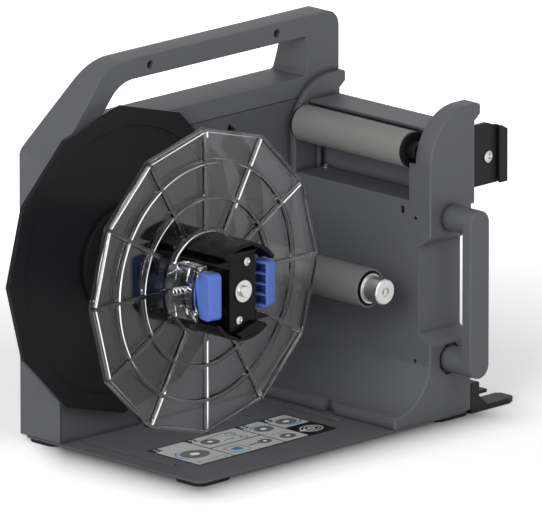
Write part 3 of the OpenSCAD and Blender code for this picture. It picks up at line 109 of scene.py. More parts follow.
class Link:
    """An output socket of a node tree. Arithmetic on it adds Math nodes, and node() any other kind."""

    def __init__(self, socket):
        self.socket = socket
        self.tree = socket.id_data

    def node(self, kind, inputs=None, settings=None, output=0):
        """A new node: its settings are set first, then its inputs are set or linked. Returns one output."""
        made = self.tree.nodes.new(kind)
        for name, value in (settings or {}).items():
            setattr(made, name, value)
        for name, value in (inputs or {}).items():
            plug(made.inputs[name], value)
        return Link(made.outputs[output])

    def math(self, operation, *values):
        return self.node("ShaderNodeMath", dict(enumerate(values)), {"operation": operation})

    def mix(self, first, second):
        """A colour between two others, by this value."""
        inputs = {MIX_FACTOR: self, MIX_FIRST: first, MIX_SECOND: second}
        return self.node("ShaderNodeMix", inputs, {"data_type": "RGBA"}, MIX_COLOUR)

    def __add__(self, other):
        return self.math("ADD", self, other)

    def __sub__(self, other):
        return self.math("SUBTRACT", self, other)

    def __rsub__(self, other):
        return self.math("SUBTRACT", other, self)

    def __mul__(self, other):
        return self.math("MULTIPLY", self, other)

    def __pow__(self, other):
        return self.math("POWER", self, other)

    __radd__ = __add__
    __rmul__ = __mul__


def plug(socket, value):
    """Sets an input socket to a value, or links it. None leaves it as it is."""
    if isinstance(value, Link):
        value.tree.links.new(value.socket, socket)
    elif value is not None:
        socket.default_value = value


def seen_directly(tree):
    """1 for rays that show the background itself: straight, in a reflection or through something clear, and
    not after a matt surface."""
    path = tree.nodes.new("ShaderNodeLightPath").outputs
    camera, glossy, clear = (Link(path[n]) for n in ("Is Camera Ray", "Is Glossy Ray", "Is Transmission Ray"))
    shown = camera.math("MAXIMUM", camera.math("MAXIMUM", camera, glossy), clear)
    return shown.math("MAXIMUM", shown - Link(path["Diffuse Depth"]), 0)


# Studio

AMBIENT = 0.40
FLOOR_WHITE = 0.82
FLOOR_GLOW = 0.3
FLOOR_SIDE = 60
FLOOR_NEAR, FLOOR_FAR = 0.3, 0.9
SHADOW_REACH = 76 * MM
SHADOW_DARKNESS, SHADOW_POWER = 0.84, 2.6
SHADOW_START = 30 * MM
KEY_OFFSET, KEY_SIZE, KEY_WATTS = Vector((-1.7, -0.75, 0.75)), 1.1, 34
FILL_OFFSET, FILL_SIZE, FILL_WATTS = Vector((-0.3, -1.8, 1.3)), 1.2, 15


def add_light(name, place, aim, size, power):
    """A square soft light that points from place to aim."""
    data = bpy.data.lights.new(name, "AREA")
    data.size = size
    data.energy = power
    light = bpy.data.objects.new(name, data)
    light.location = place
    light.rotation_euler = (aim - place).to_track_quat("-Z", "Y").to_euler()
    scene.collection.objects.link(light)


def contact_shadow(at):
    """How much of the floor's light is left near the base: 1 - darkness (1 - d / reach)^power at a distance d
    from the base's rectangle, fading out towards its left corner in the picture."""
    low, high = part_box("base_plate")

    def vector(operation, first, second, output=0):
        return at.node("ShaderNodeVectorMath", {0: first, 1: second}, {"operation": operation}, output)

    from_middle = vector("ABSOLUTE", vector("SUBTRACT", at, (low + high) / 2), None)
    outside = vector("MAXIMUM", vector("SUBTRACT", from_middle, (high - low) / 2), (0, 0, 0))
    near = at.math("MAXIMUM", 1 - vector("LENGTH", outside, None, "Value") * (1 / SHADOW_REACH), 0)
    across = vector("DOT_PRODUCT", vector("SUBTRACT", at, (low.x, high.y, 0)),
                    (math.cos(VIEW_TURN), -math.sin(VIEW_TURN), 0), "Value")
    start = at.node("ShaderNodeMapRange", {"Value": across, "From Min": 0.0, "From Max": SHADOW_START})
    return 1 - SHADOW_DARKNESS * start * near ** SHADOW_POWER


def add_surroundings():
    """White all round: at full strength where it shows, and weaker as a light."""
    world = bpy.data.worlds.new("studio")
    world.use_nodes = True
    scene.world = world
    background = world.node_tree.nodes["Background"]
    background.inputs["Color"].default_value = WHITE
    plug(background.inputs["Strength"], AMBIENT + (1 - AMBIENT) * seen_directly(world.node_tree))


def white_floor():
    """Matt white that also glows where it is seen, more so farther out, but not in the contact shadow."""
    paper = bpy.data.materials.new("white_floor")
    paper.use_nodes = True
    tree = paper.node_tree
    tree.nodes.remove(tree.nodes["Principled BSDF"])
    seen = seen_directly(tree)
    at = Link(tree.nodes.new("ShaderNodeTexCoord").outputs["Object"])
    distance = at.node("ShaderNodeVectorMath", {0: at}, {"operation": "LENGTH"}, "Value")
    far = at.node("ShaderNodeMapRange", {"Value": distance, "From Min": FLOOR_NEAR, "From Max": FLOOR_FAR})
    contact = contact_shadow(at)
    matt = at.node("ShaderNodeBsdfDiffuse", {"Color": contact.mix(BLACK, (FLOOR_WHITE,) * 3 + (1,))})
    strength = (FLOOR_GLOW + (1 - FLOOR_GLOW) * far) * seen * contact
    glow = at.node("ShaderNodeEmission", {"Strength": strength})
    plug(tree.nodes["Material Output"].inputs["Surface"], at.node("ShaderNodeAddShader", {0: matt, 1: glow}))
    return paper


def add_floor():
    half = FLOOR_SIDE / 2
    corners = [(-half, -half, 0), (half, -half, 0), (half, half, 0), (-half, half, 0)]
    mesh = bpy.data.meshes.new("floor")
    mesh.from_pydata(corners, [], [(0, 1, 2, 3)])
    mesh.materials.append(white_floor())
    floor = bpy.data.objects.new("floor", mesh)
    scene.collection.objects.link(floor)


def add_studio():
    """White surroundings, a white floor that keeps the shadow, a key light at the left, a fill in front."""
    add_surroundings()
    add_floor()
    middle = (cad_low + cad_high) / 2
    add_light("key", middle + KEY_OFFSET, middle, KEY_SIZE, KEY_WATTS)
    add_light("fill", middle + FILL_OFFSET, middle, FILL_SIZE, FILL_WATTS)


# Finishes

# Reach and samples of the painted shade that darkens colours in corners and joints
PAINTED_SHADE_REACH = 5 * MM
PAINTED_SHADE_SAMPLES = 8
NOISE_MEAN = 0.5
SPECK_SHARE = 0.3
CLEAR_TINT, CLEAR_IOR, CLEAR_SHINE = (0.985, 0.99, 0.993, 1), 1.49, (0.4, 0.4, 0.4, 1)
CLEAR_SHADOW = (0.94, 0.945, 0.95, 1)


def finish(name, shade):
    """A material named name. shade takes its Object coordinates and gives its shader's inputs."""
    made = bpy.data.materials.new(name)
    made.use_nodes = True
    tree = made.node_tree
    at = Link(tree.nodes.new("ShaderNodeTexCoord").outputs["Object"])
    for socket, value in shade(at).items():
        plug(tree.nodes["Principled BSDF"].inputs[socket], value)
    return made


def noise(at, scale, detail=2.0):
    return at.node("ShaderNodeTexNoise", {"Vector": at, "Scale": scale, "Detail": detail})


def stretched(at, x, y, z):
    """Object coordinates scaled apart along the axes, so that a noise becomes streaks."""
    return at.node("ShaderNodeMapping", {"Vector": at, "Scale": (x, y, z)})


def bump(at, height, depth_mm):
    return at.node("ShaderNodeBump", {"Distance": depth_mm * MM, "Height": height})


def varied(value, by, swing):
    """A value that swings about its mean with a noise."""
    return value + swing * (by - NOISE_MEAN)


def with_painted_shade(at, colour):
    """A colour with painted shade: darker in corners and joints, by how little open sky each point sees
    within a short reach.
    """
    reach = {"Distance": PAINTED_SHADE_REACH}
    open_sky = at.node("ShaderNodeAmbientOcclusion", reach, {"samples": PAINTED_SHADE_SAMPLES}, "AO")
    return open_sky.mix(BLACK, colour)


def shades(colour, spread):
    """A darker and a lighter version of a colour."""
    return [tuple(c * k for c in colour) + (1,) for k in (1 - spread, 1 + spread)]


def moulded(colour, roughness, gloss, grain_mm=0.45, depth_mm=0.02, spread=0.05):
    """Moulded plastic: a fine eroded grain, with faint clouds in its colour and gloss, and painted shade in
    its corners and joints.
    """
    def shade(at):
        cloud = noise(at, scale=14)
        grain = noise(at, scale=1 / (grain_mm * MM), detail=1)
        # Base Color: the clouded colour with painted shade in corners and joints
        return {"Base Color": with_painted_shade(at, cloud.mix(*shades(colour, spread))),
                "Roughness": varied(roughness, cloud, swing=0.1),
                "Specular IOR Level": gloss, "Normal": bump(at, grain, depth_mm)}
    return shade


def painted(colour, roughness, gloss):
    """Powder paint on sheet metal: a soft orange-peel surface with fine specks, and painted shade in its
    corners and joints.
    """
    def shade(at):
        peel = noise(at, scale=420, detail=1)
        speck = noise(at, scale=2600, detail=1)
        # Base Color: the specked colour with painted shade in corners and joints
        return {"Base Color": with_painted_shade(at, speck.mix(*shades(colour, spread=0.12))),
                "Roughness": varied(roughness, peel, swing=0.12),
                "Specular IOR Level": gloss, "Normal": bump(at, peel + SPECK_SHARE * speck, depth_mm=0.03)}
    return shade


def turned(colour, roughness, metallic):
    """Metal turned on a lathe about Y: fine rings that change along Y only, and a little staining."""
    def shade(at):
        rings = noise(stretched(at, 0, 1, 0), scale=3000)
        stain = noise(at, scale=30)
        return {"Base Color": stain.mix(*shades(colour, spread=0.06)), "Metallic": metallic,
                "Roughness": varied(roughness, rings, swing=0.1),
                "Specular IOR Level": 0.25, "Normal": bump(at, rings, depth_mm=0.004)}
    return shade


def bright_metal(colour, roughness):
    """Plated steel: nearly even, with small handling marks in its gloss."""
    def shade(at):
        marks = noise(at, scale=260, detail=4)
        return {"Base Color": marks.mix(*shades(colour, spread=0.08)), "Metallic": 1.0,
                "Roughness": varied(roughness, marks, swing=0.1),
                "Normal": bump(at, marks, depth_mm=0.001)}
    return shade


def rubbery(colour):
    """Moulded rubber: dull and finely pitted."""
    def shade(at):
        pits = noise(at, scale=900, detail=3)
        return {"Base Color": pits.mix(*shades(colour, spread=0.25)),
                "Roughness": varied(0.75, pits, swing=0.2),
                "Specular IOR Level": 0.15, "Normal": bump(at, pits, depth_mm=0.05)}
    return shade


def solder_mask(colour):
    """A circuit board: green lacquer with thin copper tracks that show through as a lighter weave."""
    def shade(at):
        tracks = at.node("ShaderNodeTexBrick", {
            "Vector": stretched(at, 1, 0, 1), "Scale": 90.0, "Mortar Size": 0.06,
            "Color1": BLACK, "Color2": BLACK, "Mortar": WHITE})
        dark, light = shades(colour, spread=0.35)
        return {"Base Color": tracks.mix(dark, light), "Roughness": 0.35 + 0.2 * tracks}
    return shade


def printed(colour):
    """Ink on a matt card: a faint paper tooth and slightly uneven ink."""
    def shade(at):
        tooth = noise(at, scale=1500)
        return {"Base Color": noise(at, scale=120).mix(*shades(colour, spread=0.06)),
                "Roughness": varied(0.45, tooth, swing=0.15),
                "Specular IOR Level": 0.2, "Normal": bump(at, tooth, depth_mm=0.006)}
    return shade


def polished_clear(at):
    """Clear plastic with a faint haze in its gloss."""
    haze = noise(at, scale=60)
    return {"Base Color": CLEAR_TINT, "Roughness": 0.01 + 0.02 * haze,
            "Transmission Weight": 1.0, "IOR": CLEAR_IOR, "Specular Tint": CLEAR_SHINE}


def let_lamps_through(material):
    """Makes a material clear for shadow rays, so that it shades little."""
    tree = material.node_tree
    shader = Link(tree.nodes["Principled BSDF"].outputs[0])
    lamp = shader.node("ShaderNodeLightPath", output="Is Shadow Ray")
    through = shader.node("ShaderNodeBsdfTransparent", {"Color": CLEAR_SHADOW})
    plug(tree.nodes["Material Output"].inputs["Surface"],
         shader.node("ShaderNodeMixShader", {0: lamp, 1: shader, 2: through}))


SHADES = {
    "housing_plastic": moulded((0.078, 0.0795, 0.087), roughness=0.5, gloss=0.28),
    # Painted shade in part: this grey is set darker than the housing's, though the front panel has much the
    # same colour, to stand for the shade on the panel
    "panel_grey": painted((0.062, 0.063, 0.068), roughness=0.5, gloss=0.22),
    "base_grey": painted((0.080, 0.081, 0.087), roughness=0.46, gloss=0.3),
    "black_plastic": moulded((0.0075, 0.0073, 0.0083), roughness=0.42, gloss=0.1, spread=0.1),
    "gloss_black": moulded((0.003, 0.003, 0.0035), roughness=0.26, gloss=0.09, spread=0.1),
    "soft_black": moulded((0.017, 0.017, 0.017), roughness=0.5, gloss=0.15, spread=0.1),
    "blue_plastic": moulded((0.070, 0.125, 0.40), roughness=0.42, gloss=0.2, depth_mm=0.01, spread=0.03),
    "gear_plastic": moulded((0.66, 0.64, 0.57), roughness=0.4, gloss=0.3),
    "clear_plastic": polished_clear,
    "rubber": rubbery((0.010, 0.010, 0.010)),
    "roller_aluminium": turned((0.155, 0.155, 0.152), roughness=0.55, metallic=0.0),
    # Painted shade: a darker copy of the roller finish, for the tension roller, which lies in shade
    "roller_painted_shade": turned((0.098, 0.098, 0.097), roughness=0.55, metallic=0.0),
    "brass": turned((0.62, 0.46, 0.2), roughness=0.3, metallic=1.0),
    "steel": bright_metal((0.52, 0.52, 0.51), roughness=0.3),
    "dark_metal": painted((0.016, 0.016, 0.016), roughness=0.45, gloss=0.1),
    "board_green": solder_mask((0.006, 0.022, 0.013)),
}
FINISHES = {name: finish(name, shade) for name, shade in SHADES.items()}
let_lamps_through(FINISHES["clear_plastic"])
# The tension roller takes the darker copy of the roller finish, as painted shade
OWN_FINISH = {"hub_upper_shell": "gloss_black", "hub_lower_shell": "gloss_black", "hub_core": "gloss_black",
              "dock_foot": "soft_black", "tension_roller": "roller_painted_shade"}
SLOT = {row["node"]: row["material_slot"] for row in frame["record"]["subparts"]}
BODY = {node: body for body, nodes in frame["record"]["behaviour"]["bodies"].items() for node in nodes}


def look_of(node):
    """A node's own finish, or else the one of its slot."""
    return FINISHES[OWN_FINISH.get(node, SLOT[node])]


# Meshes

MERGE = 0.001 * MM
SHARP_ANGLE = math.radians(28)


def add_piece(name, points, faces, body, slot, look):
    """A new mesh piece with a finish, which rides on a body; its slot argument is not used."""
    mesh = bpy.data.meshes.new(name)
    mesh.from_pydata(points, [], faces)
    mesh.shade_smooth()
    mesh.set_sharp_from_angle(angle=SHARP_ANGLE)
    mesh.materials.append(look)
    piece = bpy.data.objects.new(name, mesh)
    scene.collection.objects.link(piece)
    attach(piece, body)
    return piece


def joined(meshes):
    """Several meshes of points and faces as one."""
    starts = np.cumsum([0] + [len(points) for points, _ in meshes])
    faces = [[v + start for v in face] for (_, some), start in zip(meshes, starts) for face in some]
    return np.vstack([points for points, _ in meshes]), faces


def add_stand_in(name, meshes, node):
    """Several meshes as one piece in place of a CAD node."""
    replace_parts(add_piece(name, *joined(meshes), BODY[node], SLOT[node], look_of(node)), node)


def ring_faces(rows, columns):
    """Quads of a grid whose columns close into a ring, seen from outside where the rows go up and the columns
    run anticlockwise."""
    i, j = np.meshgrid(np.arange(rows - 1), np.arange(columns), indexing="ij")
    k = (j + 1) % columns
    below, above = i * columns, (i + 1) * columns
    return np.stack([below + j, below + k, above + k, above + j], -1).reshape(-1, 4).tolist()


def capped_tube(rings):
    """A closed tube through rings of points, an array of rows by columns by 3, with flat ends."""
    rows, columns = rings.shape[:2]
    first = list(range(columns))[::-1]
    last = list(range((rows - 1) * columns, rows * columns))
    return rings.reshape(-1, 3), ring_faces(rows, columns) + [first, last]


def points_of(mesh):
    """A mesh's points, one in each row."""
    flat = np.empty(3 * len(mesh.vertices))
    mesh.vertices.foreach_get("co", flat)
    return flat.reshape(-1, 3)


def triangles_of(mesh):
    """The point numbers of a mesh of triangles, one triangle in each row."""
    corners = np.empty(len(mesh.loops), int)
    mesh.loops.foreach_get("vertex_index", corners)
    return corners.reshape(-1, 3)


def merged(node):
    """A CAD node's points and triangles, with the points that lie together made one."""
    mesh = frame["nodes"][node].data
    loose = points_of(mesh)
    steps = np.round(loose / MERGE).astype(int)
    _, first, number = np.unique(steps, axis=0, return_index=True, return_inverse=True)
    faces = number.ravel()[triangles_of(mesh)]
    whole = (faces[:, 0] != faces[:, 1]) & (faces[:, 1] != faces[:, 2]) & (faces[:, 2] != faces[:, 0])
    return loose[first], faces[whole]


def islands(count, groups):
    """A number for each of count things, the same for those that belong together: each takes the least number
    in its groups, which are rows of things, until nothing changes."""
    label = np.arange(count)
    before = None
    while before is None or (label != before).any():
        before = label.copy()
        np.minimum.at(label, groups.ravel(), np.repeat(label[groups].min(axis=1), groups.shape[1]))
    return label


def solids(node):
    """The points of each separate solid of a CAD node."""
    points, faces = merged(node)
    label = islands(len(points), faces)
    return [points[label == k] for k in np.unique(label)]


# Rounded edges

FLAT_ANGLE = math.radians(0.5)
ROUND_STEPS = 3
FACET_TRIANGLES = 4
WELD = 0.01 * MM
MOST_GAP_SIDES = 16
LEAST_AREA, EMPTY_AREA = 1e-11, 5e-9
TINY = 1e-9


def edges_between(faces):
    """The edges that two triangles share: the two end points of each, and the numbers of the triangles."""
    ends = np.sort(np.stack([faces, np.roll(faces, -1, axis=1)], -1).reshape(-1, 2), axis=1)
    order = np.lexsort((ends[:, 1], ends[:, 0]))
    ends, owner = ends[order], order // 3
    shared = (ends[:-1] == ends[1:]).all(axis=1)
    return ends[:-1][shared], np.stack([owner[:-1][shared], owner[1:][shared]], -1)


def areas(points, faces):
    """A vector square to each triangle, as long as twice its area."""
    a, b, c = points[faces].transpose(1, 0, 2)
    return np.cross(b - a, c - a)


def bends(points, faces, ends, owners):
    """The angle between the two triangles at each edge, negative where they meet inwards or one of them
    is empty."""
    normal = areas(points, faces)
    size = np.linalg.norm(normal, axis=1)
    normal /= np.maximum(size, LEAST_AREA)[:, None]
    first, second = owners.T
    angle = np.arccos(np.clip((normal[first] * normal[second]).sum(axis=1), -1, 1))
    across = points[faces[second]].mean(axis=1) - points[ends[:, 0]]
    angle[size[owners].min(axis=1) < LEAST_AREA] = -np.pi / 2
    return np.where((across * normal[first]).sum(axis=1) > 0, -np.abs(angle), angle)


def evened(points, faces):
    """The same surface with its flat regions cut into fuller triangles, since long slivers upset a bevel."""
    bm = bmesh.new()
    mesh = bpy.data.meshes.new("even")
    mesh.from_pydata(points, [], faces)
    bm.from_mesh(mesh)
    bmesh.ops.dissolve_limit(bm, angle_limit=FLAT_ANGLE, verts=bm.verts, edges=bm.edges)
    bmesh.ops.dissolve_degenerate(bm, dist=MERGE, edges=bm.edges)
    bmesh.ops.triangulate(bm, faces=bm.faces)
    inner = [e for e in bm.edges if e.is_manifold and e.calc_face_angle(1) < FLAT_ANGLE]
    bmesh.ops.beautify_fill(bm, faces=bm.faces, edges=inner)
    bm.to_mesh(mesh)
    bm.free()
    return points_of(mesh), triangles_of(mesh)


def bevelled(points, faces, region, weight, width):
    """A mesh with its edges rounded by their weights times a width. Rounded faces have material index 1, and
    every face keeps the number of the flat region it comes from."""
    mesh = bpy.data.meshes.new("bevel")
    mesh.from_pydata(points, [], faces)
    for _ in range(2):
        mesh.materials.append(None)
    mesh.attributes.new("region", "INT", "FACE").data.foreach_set("value", region.astype(np.int32))
    key = np.empty(2 * len(mesh.edges), int)
    mesh.edges.foreach_get("vertices", key)
    shares = [weight.get(pair, 0) for pair in map(tuple, np.sort(key.reshape(-1, 2), axis=1).tolist())]
    mesh.attributes.new("bevel_weight_edge", "FLOAT", "EDGE").data.foreach_set("value", shares)
    blank = bpy.data.objects.new("bevel", mesh)
    scene.collection.objects.link(blank)
    bevel = blank.modifiers.new("bevel", "BEVEL")
    bevel.limit_method = "WEIGHT"
    bevel.width = width
    bevel.segments = ROUND_STEPS
    bevel.use_clamp_overlap = False
    bevel.loop_slide = False
    bevel.material = 1
    rounded = bpy.data.meshes.new_from_object(blank.evaluated_get(bpy.context.evaluated_depsgraph_get()))
    bpy.data.objects.remove(blank)
    return rounded


def turns_round(spots, starts, ends):
    """How often an outline of sides from starts to ends runs anticlockwise round each spot of its plane."""
    y = spots[:, None, 1]
    ahead, aside = ends - starts, spots[:, None] - starts
    left = ahead[:, 0] * aside[..., 1] - ahead[:, 1] * aside[..., 0]
    upward = (starts[:, 1] <= y) & (ends[:, 1] > y) & (left > 0)
    downward = (ends[:, 1] <= y) & (starts[:, 1] > y) & (left < 0)
    return upward.sum(axis=1) - downward.sum(axis=1)


def refilled(points, faces, normal):
    """A flat region filled anew inside its outline, since a bevel leaves folded triangles on it. The outline
    is made of the sides that only one face has. Returns new points, and faces that number them after the
    old ones."""
    sides = {side for face in faces for side in zip(face, face[1:] + face[:1])}
    outline = [side for side in sides if side[::-1] not in sides]
    used = sorted({v for side in outline for v in side})
    place = {v: k for k, v in enumerate(used)}
    u = Vector(normal).orthogonal().normalized()
    v = Vector(normal).cross(u)
    flat = points[used] @ np.array([u, v]).T
    rim = np.array([(place[a], place[b]) for a, b in outline])
    triangulation = delaunay_2d_cdt([Vector(p) for p in flat], rim.tolist(), [], 0, TINY)
    corners, _, filled, source = triangulation[:4]
    spots = np.array([[corners[k] for k in face] for face in filled]).mean(axis=1)
    inside = turns_round(spots, flat[rim[:, 0]], flat[rim[:, 1]]) > 0
    level = points[used[0]] @ np.array(normal)
    extra = [k for k, old in enumerate(source) if not old]
    number = {k: len(points) + i for i, k in enumerate(extra)}
    number.update({k: used[old[0]] for k, old in enumerate(source) if old})
    new = [np.array(u) * corners[k].x + np.array(v) * corners[k].y + level * np.array(normal)
           for k in extra]
    return new, [tuple(number[k] for k in face) for face, within in zip(filled, inside) if within]


def close_gaps(mesh):
    """Joins points that lie together, takes empty triangles off sides that have two faces without them, fills
    what is open at a side that the filling has split, and takes loose points away."""
    bm = bmesh.new()
    bm.from_mesh(mesh)
    bmesh.ops.remove_doubles(bm, verts=bm.verts, dist=WELD)
    crowded = {f for e in bm.edges if len(e.link_faces) > 2 for f in e.link_faces}
    bmesh.ops.delete(bm, geom=[f for f in crowded if f.calc_area() < EMPTY_AREA], context="FACES")
    bmesh.ops.holes_fill(bm, edges=[e for e in bm.edges if e.is_boundary], sides=MOST_GAP_SIDES)
    bmesh.ops.delete(bm, geom=[v for v in bm.verts if not v.link_faces], context="VERTS")
    bm.to_mesh(mesh)
    bm.free()


def round_edges(node, radius_mm, radii=None):
    """A copy of a CAD node whose outward edges are rounded. radii takes the edges' middle points, in
    millimetres, and gives each one's radius; without it all have radius_mm, which is also the largest."""
    points, faces = evened(*merged(node))
    ends, owners = edges_between(faces)
    bend = bends(points, faces, ends, owners)
    region = islands(len(faces), owners[np.abs(bend) < FLAT_ANGLE])
    soft = (np.abs(bend) >= FLAT_ANGLE) & (np.abs(bend) < SHARP_ANGLE)
    few = np.bincount(region, minlength=len(faces)) <= FACET_TRIANGLES
    curved = {k for k in region[owners[soft]].ravel().tolist() if few[k]}
    middles = points[ends].mean(axis=1)
    wanted = radii(middles / MM) / radius_mm if radii else np.ones(len(ends))
    sharp = bend > SHARP_ANGLE
    weight = dict(zip(map(tuple, ends[sharp].tolist()), wanted[sharp].tolist()))
    rounded = bevelled(points, faces, region, weight, radius_mm * MM)

    normals = np.zeros((len(faces), 3))
    np.add.at(normals, region, areas(points, faces))
    points = points_of(rounded)
    kept, groups = [], {}
    for face, number in zip(rounded.polygons, rounded.attributes["region"].data):
        flat = face.material_index == 0 and number.value not in curved
        (groups.setdefault(number.value, []) if flat else kept).append(tuple(face.vertices))
    smooth = [True] * len(kept)
    for number, some in groups.items():
        new, filled = refilled(points, some, Vector(normals[number]).normalized())
        points = np.vstack([points] + new)
        kept += filled
        smooth += [False] * len(filled)
    points = np.clip(points, *(np.array(corner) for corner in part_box(node)))
    piece = add_piece(node + "_rounded", points, kept, BODY[node], SLOT[node], look_of(node))
    piece.data.polygons.foreach_set("use_smooth", smooth)
    close_gaps(piece.data)
    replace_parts(piece, node)


EDGE_MM = {
    "main_shell": 0.45, "rear_cover": 0.5,
    "tower_back_cover": 0.5, "web_guide_plate": 0.6, "side_handle": 1.0,
    "base_plate": 0.3, "rubber_feet": 0.6, "dock_foot": 0.6, "dock_bracket": 0.4,
    "rear_flange": 0.3, "hub_upper_shell": 0.35, "hub_lower_shell": 0.35, "hub_core": 0.5,
    "front_flange": 0.4, "tension_roller": 0.4, "guide_roller": 0.4, "guide_roller_caps": 0.4,
    "hub_washer": 0.3, "hub_bolt": 0.6, "axle_clip": 0.2, "slot_shield": 0.3,
    "tension_roller_bushes": 0.3, "switch_rocker": 0.4,
}
CHEEK_EDGE_MM, TOWER_EDGE_MM = 1.35, 0.4
POST_R, SEAT_HALF, SEAT_TOP = 10.3, 21.8, 63
FOOT_HIGH, ON_PLANE = 1, 0.1
GRIP_EDGE_MM, TAIL_EDGE_MM, GRIP_DEEP = 0.8, 0.25, 19.46


def tower_radii(middles):
    """The outer cheek's rim is well rounded, apart from its foot and the seat of the side handle's lower
    post. The rest of the tower is nearly sharp."""
    x, y, z = middles.T
    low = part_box("tower_shell")[0] / MM
    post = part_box("side_handle")[0].x / MM + POST_R
    seat = (np.abs(x - post) < SEAT_HALF) & (z < SEAT_TOP)
    rim = (np.abs(y - low.y) < ON_PLANE) & (z > low.z + FOOT_HIGH) & ~seat
    return np.where(rim, CHEEK_EDGE_MM, TOWER_EDGE_MM)


def lever_radii(middles):
    """A squeeze lever's grip in front is well rounded, and its tail nearly sharp."""
    grip_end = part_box("lever_left")[0].y / MM + GRIP_DEEP
    return np.where(middles[:, 1] < grip_end, GRIP_EDGE_MM, TAIL_EDGE_MM)


def add_rounded_copies():
    for node, radius in EDGE_MM.items():
        round_edges(node, radius)
    round_edges("tower_shell", CHEEK_EDGE_MM, tower_radii)
    for lever in ("lever_left", "lever_right"):
        round_edges(lever, GRIP_EDGE_MM, lever_radii)


# Coil springs

WIRE_SIDES = 12
RINGS_PER_TURN = 32
LEVER_WIRE, LEVER_TURNS = 0.4 * MM, 5
ARM_WIRE, ARM_PITCH, ARM_TURNS = 0.6 * MM, 1.7 * MM, 2


def wire(path, axis, radius):
    """A round wire along a path: at each path point p a circle p + radius (n cos b + m sin b), where n is the
    coil's axis made square to the path and m is square to both."""
    along = np.gradient(path, axis=0)
    along /= np.linalg.norm(along, axis=1)[:, None]
    n = axis - (along @ axis)[:, None] * along
    n /= np.linalg.norm(n, axis=1)[:, None]
    m = np.cross(along, n)
    b = np.linspace(0, 2 * np.pi, WIRE_SIDES, endpoint=False)[None, :, None]
    return capped_tube(path[:, None] + radius * (n[:, None] * np.cos(b) + m[:, None] * np.sin(b)))


def helix(start, axis, side, coil_r, rise, turns):
    """Points of start + axis rise t + coil_r (side cos a + up sin a), where a is t times all the turns."""
    t = np.linspace(0, 1, RINGS_PER_TURN * turns + 1)[:, None]
    a = 2 * np.pi * turns * t
    return start + axis * rise * t + coil_r * (side * np.cos(a) + np.cross(axis, side) * np.sin(a))


def add_lever_springs():
    """The two pressure springs between the levers and the collar, along X."""
    axis, side = np.array([1.0, 0, 0]), np.array([0, 0, 1.0])
    coils = []
    for points in solids("lever_springs"):
        low, high = points.min(axis=0), points.max(axis=0)
        coil_r = (high[1] - low[1]) / 2 - LEVER_WIRE
        start = np.array([low[0] + LEVER_WIRE, *(low + high)[1:] / 2])
        path = helix(start, axis, side, coil_r, high[0] - low[0] - 2 * LEVER_WIRE, LEVER_TURNS)
        coils.append(wire(path, axis, LEVER_WIRE))
    add_stand_in("lever_springs_wound", coils, "lever_springs")


def add_arm_spring():
    """The tension arm's torsion spring round its pin, along -Y, with a straight leg at each end."""
    low, high = (np.array(corner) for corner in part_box("arm_spring"))
    axis, side = np.array([0, -1.0, 0]), np.array([1.0, 0, 0])
    coil_r = (high[0] - low[0]) / 2 - ARM_WIRE
    start = np.array([(low[0] + high[0]) / 2, high[1] - ARM_WIRE, (low[2] + high[2]) / 2])
    coil = helix(start, axis, side, coil_r, ARM_TURNS * ARM_PITCH, ARM_TURNS)
    leg = np.array([0, 0, (high[2] - low[2]) / 2])
    path = np.vstack([coil[0] + leg, coil, coil[-1] - leg])
    add_stand_in("arm_spring_wound", [wire(path, axis, ARM_WIRE)], "arm_spring")


# Screws

CROSS_LONG, CROSS_WIDE, CROSS_DEEP, CROSS_FLOOR = 0.58, 0.17, 0.6, 0.7
HEAD_EDGE, HEAD_RINGS = 0.5, (0, 0.35, 0.7, 0.9, 1)
HEAD_MOST, HEAD_STEP = 3 * MM, 0.2 * MM
TIP_LONG, TIP_R = 0.4, 0.6
NUT_STEPS, NUT_CUT = 12, 0.1
SCREWS = {
    "hub_screws": (0, -1, 0), "handle_screws": (0, -1, 0), "rear_cover_screws": (0, 1, 0),
    "tower_cover_screws": (1, 0, 0), "dock_foot_screws": (1, 0, 0), "guide_plate_screw": (0, 0, 1),
    "base_screws": (0, 0, -1),
}
BRACKET_NODE = "dock_bracket_screws"
MAIN_SCREW_WIDTH = 6 * MM


def screw_angles():
    """Angles round a screw head that hit the corners of its cross recess."""
    corner, middle = math.atan2(CROSS_WIDE, CROSS_LONG), math.pi / 4
    first = np.array([0, corner / 2, corner, (corner + middle) / 2])
    quarter = np.concatenate([first, [middle], (math.pi / 2 - first)[:0:-1]])
    return np.concatenate([quarter + k * math.pi / 2 for k in range(4)])


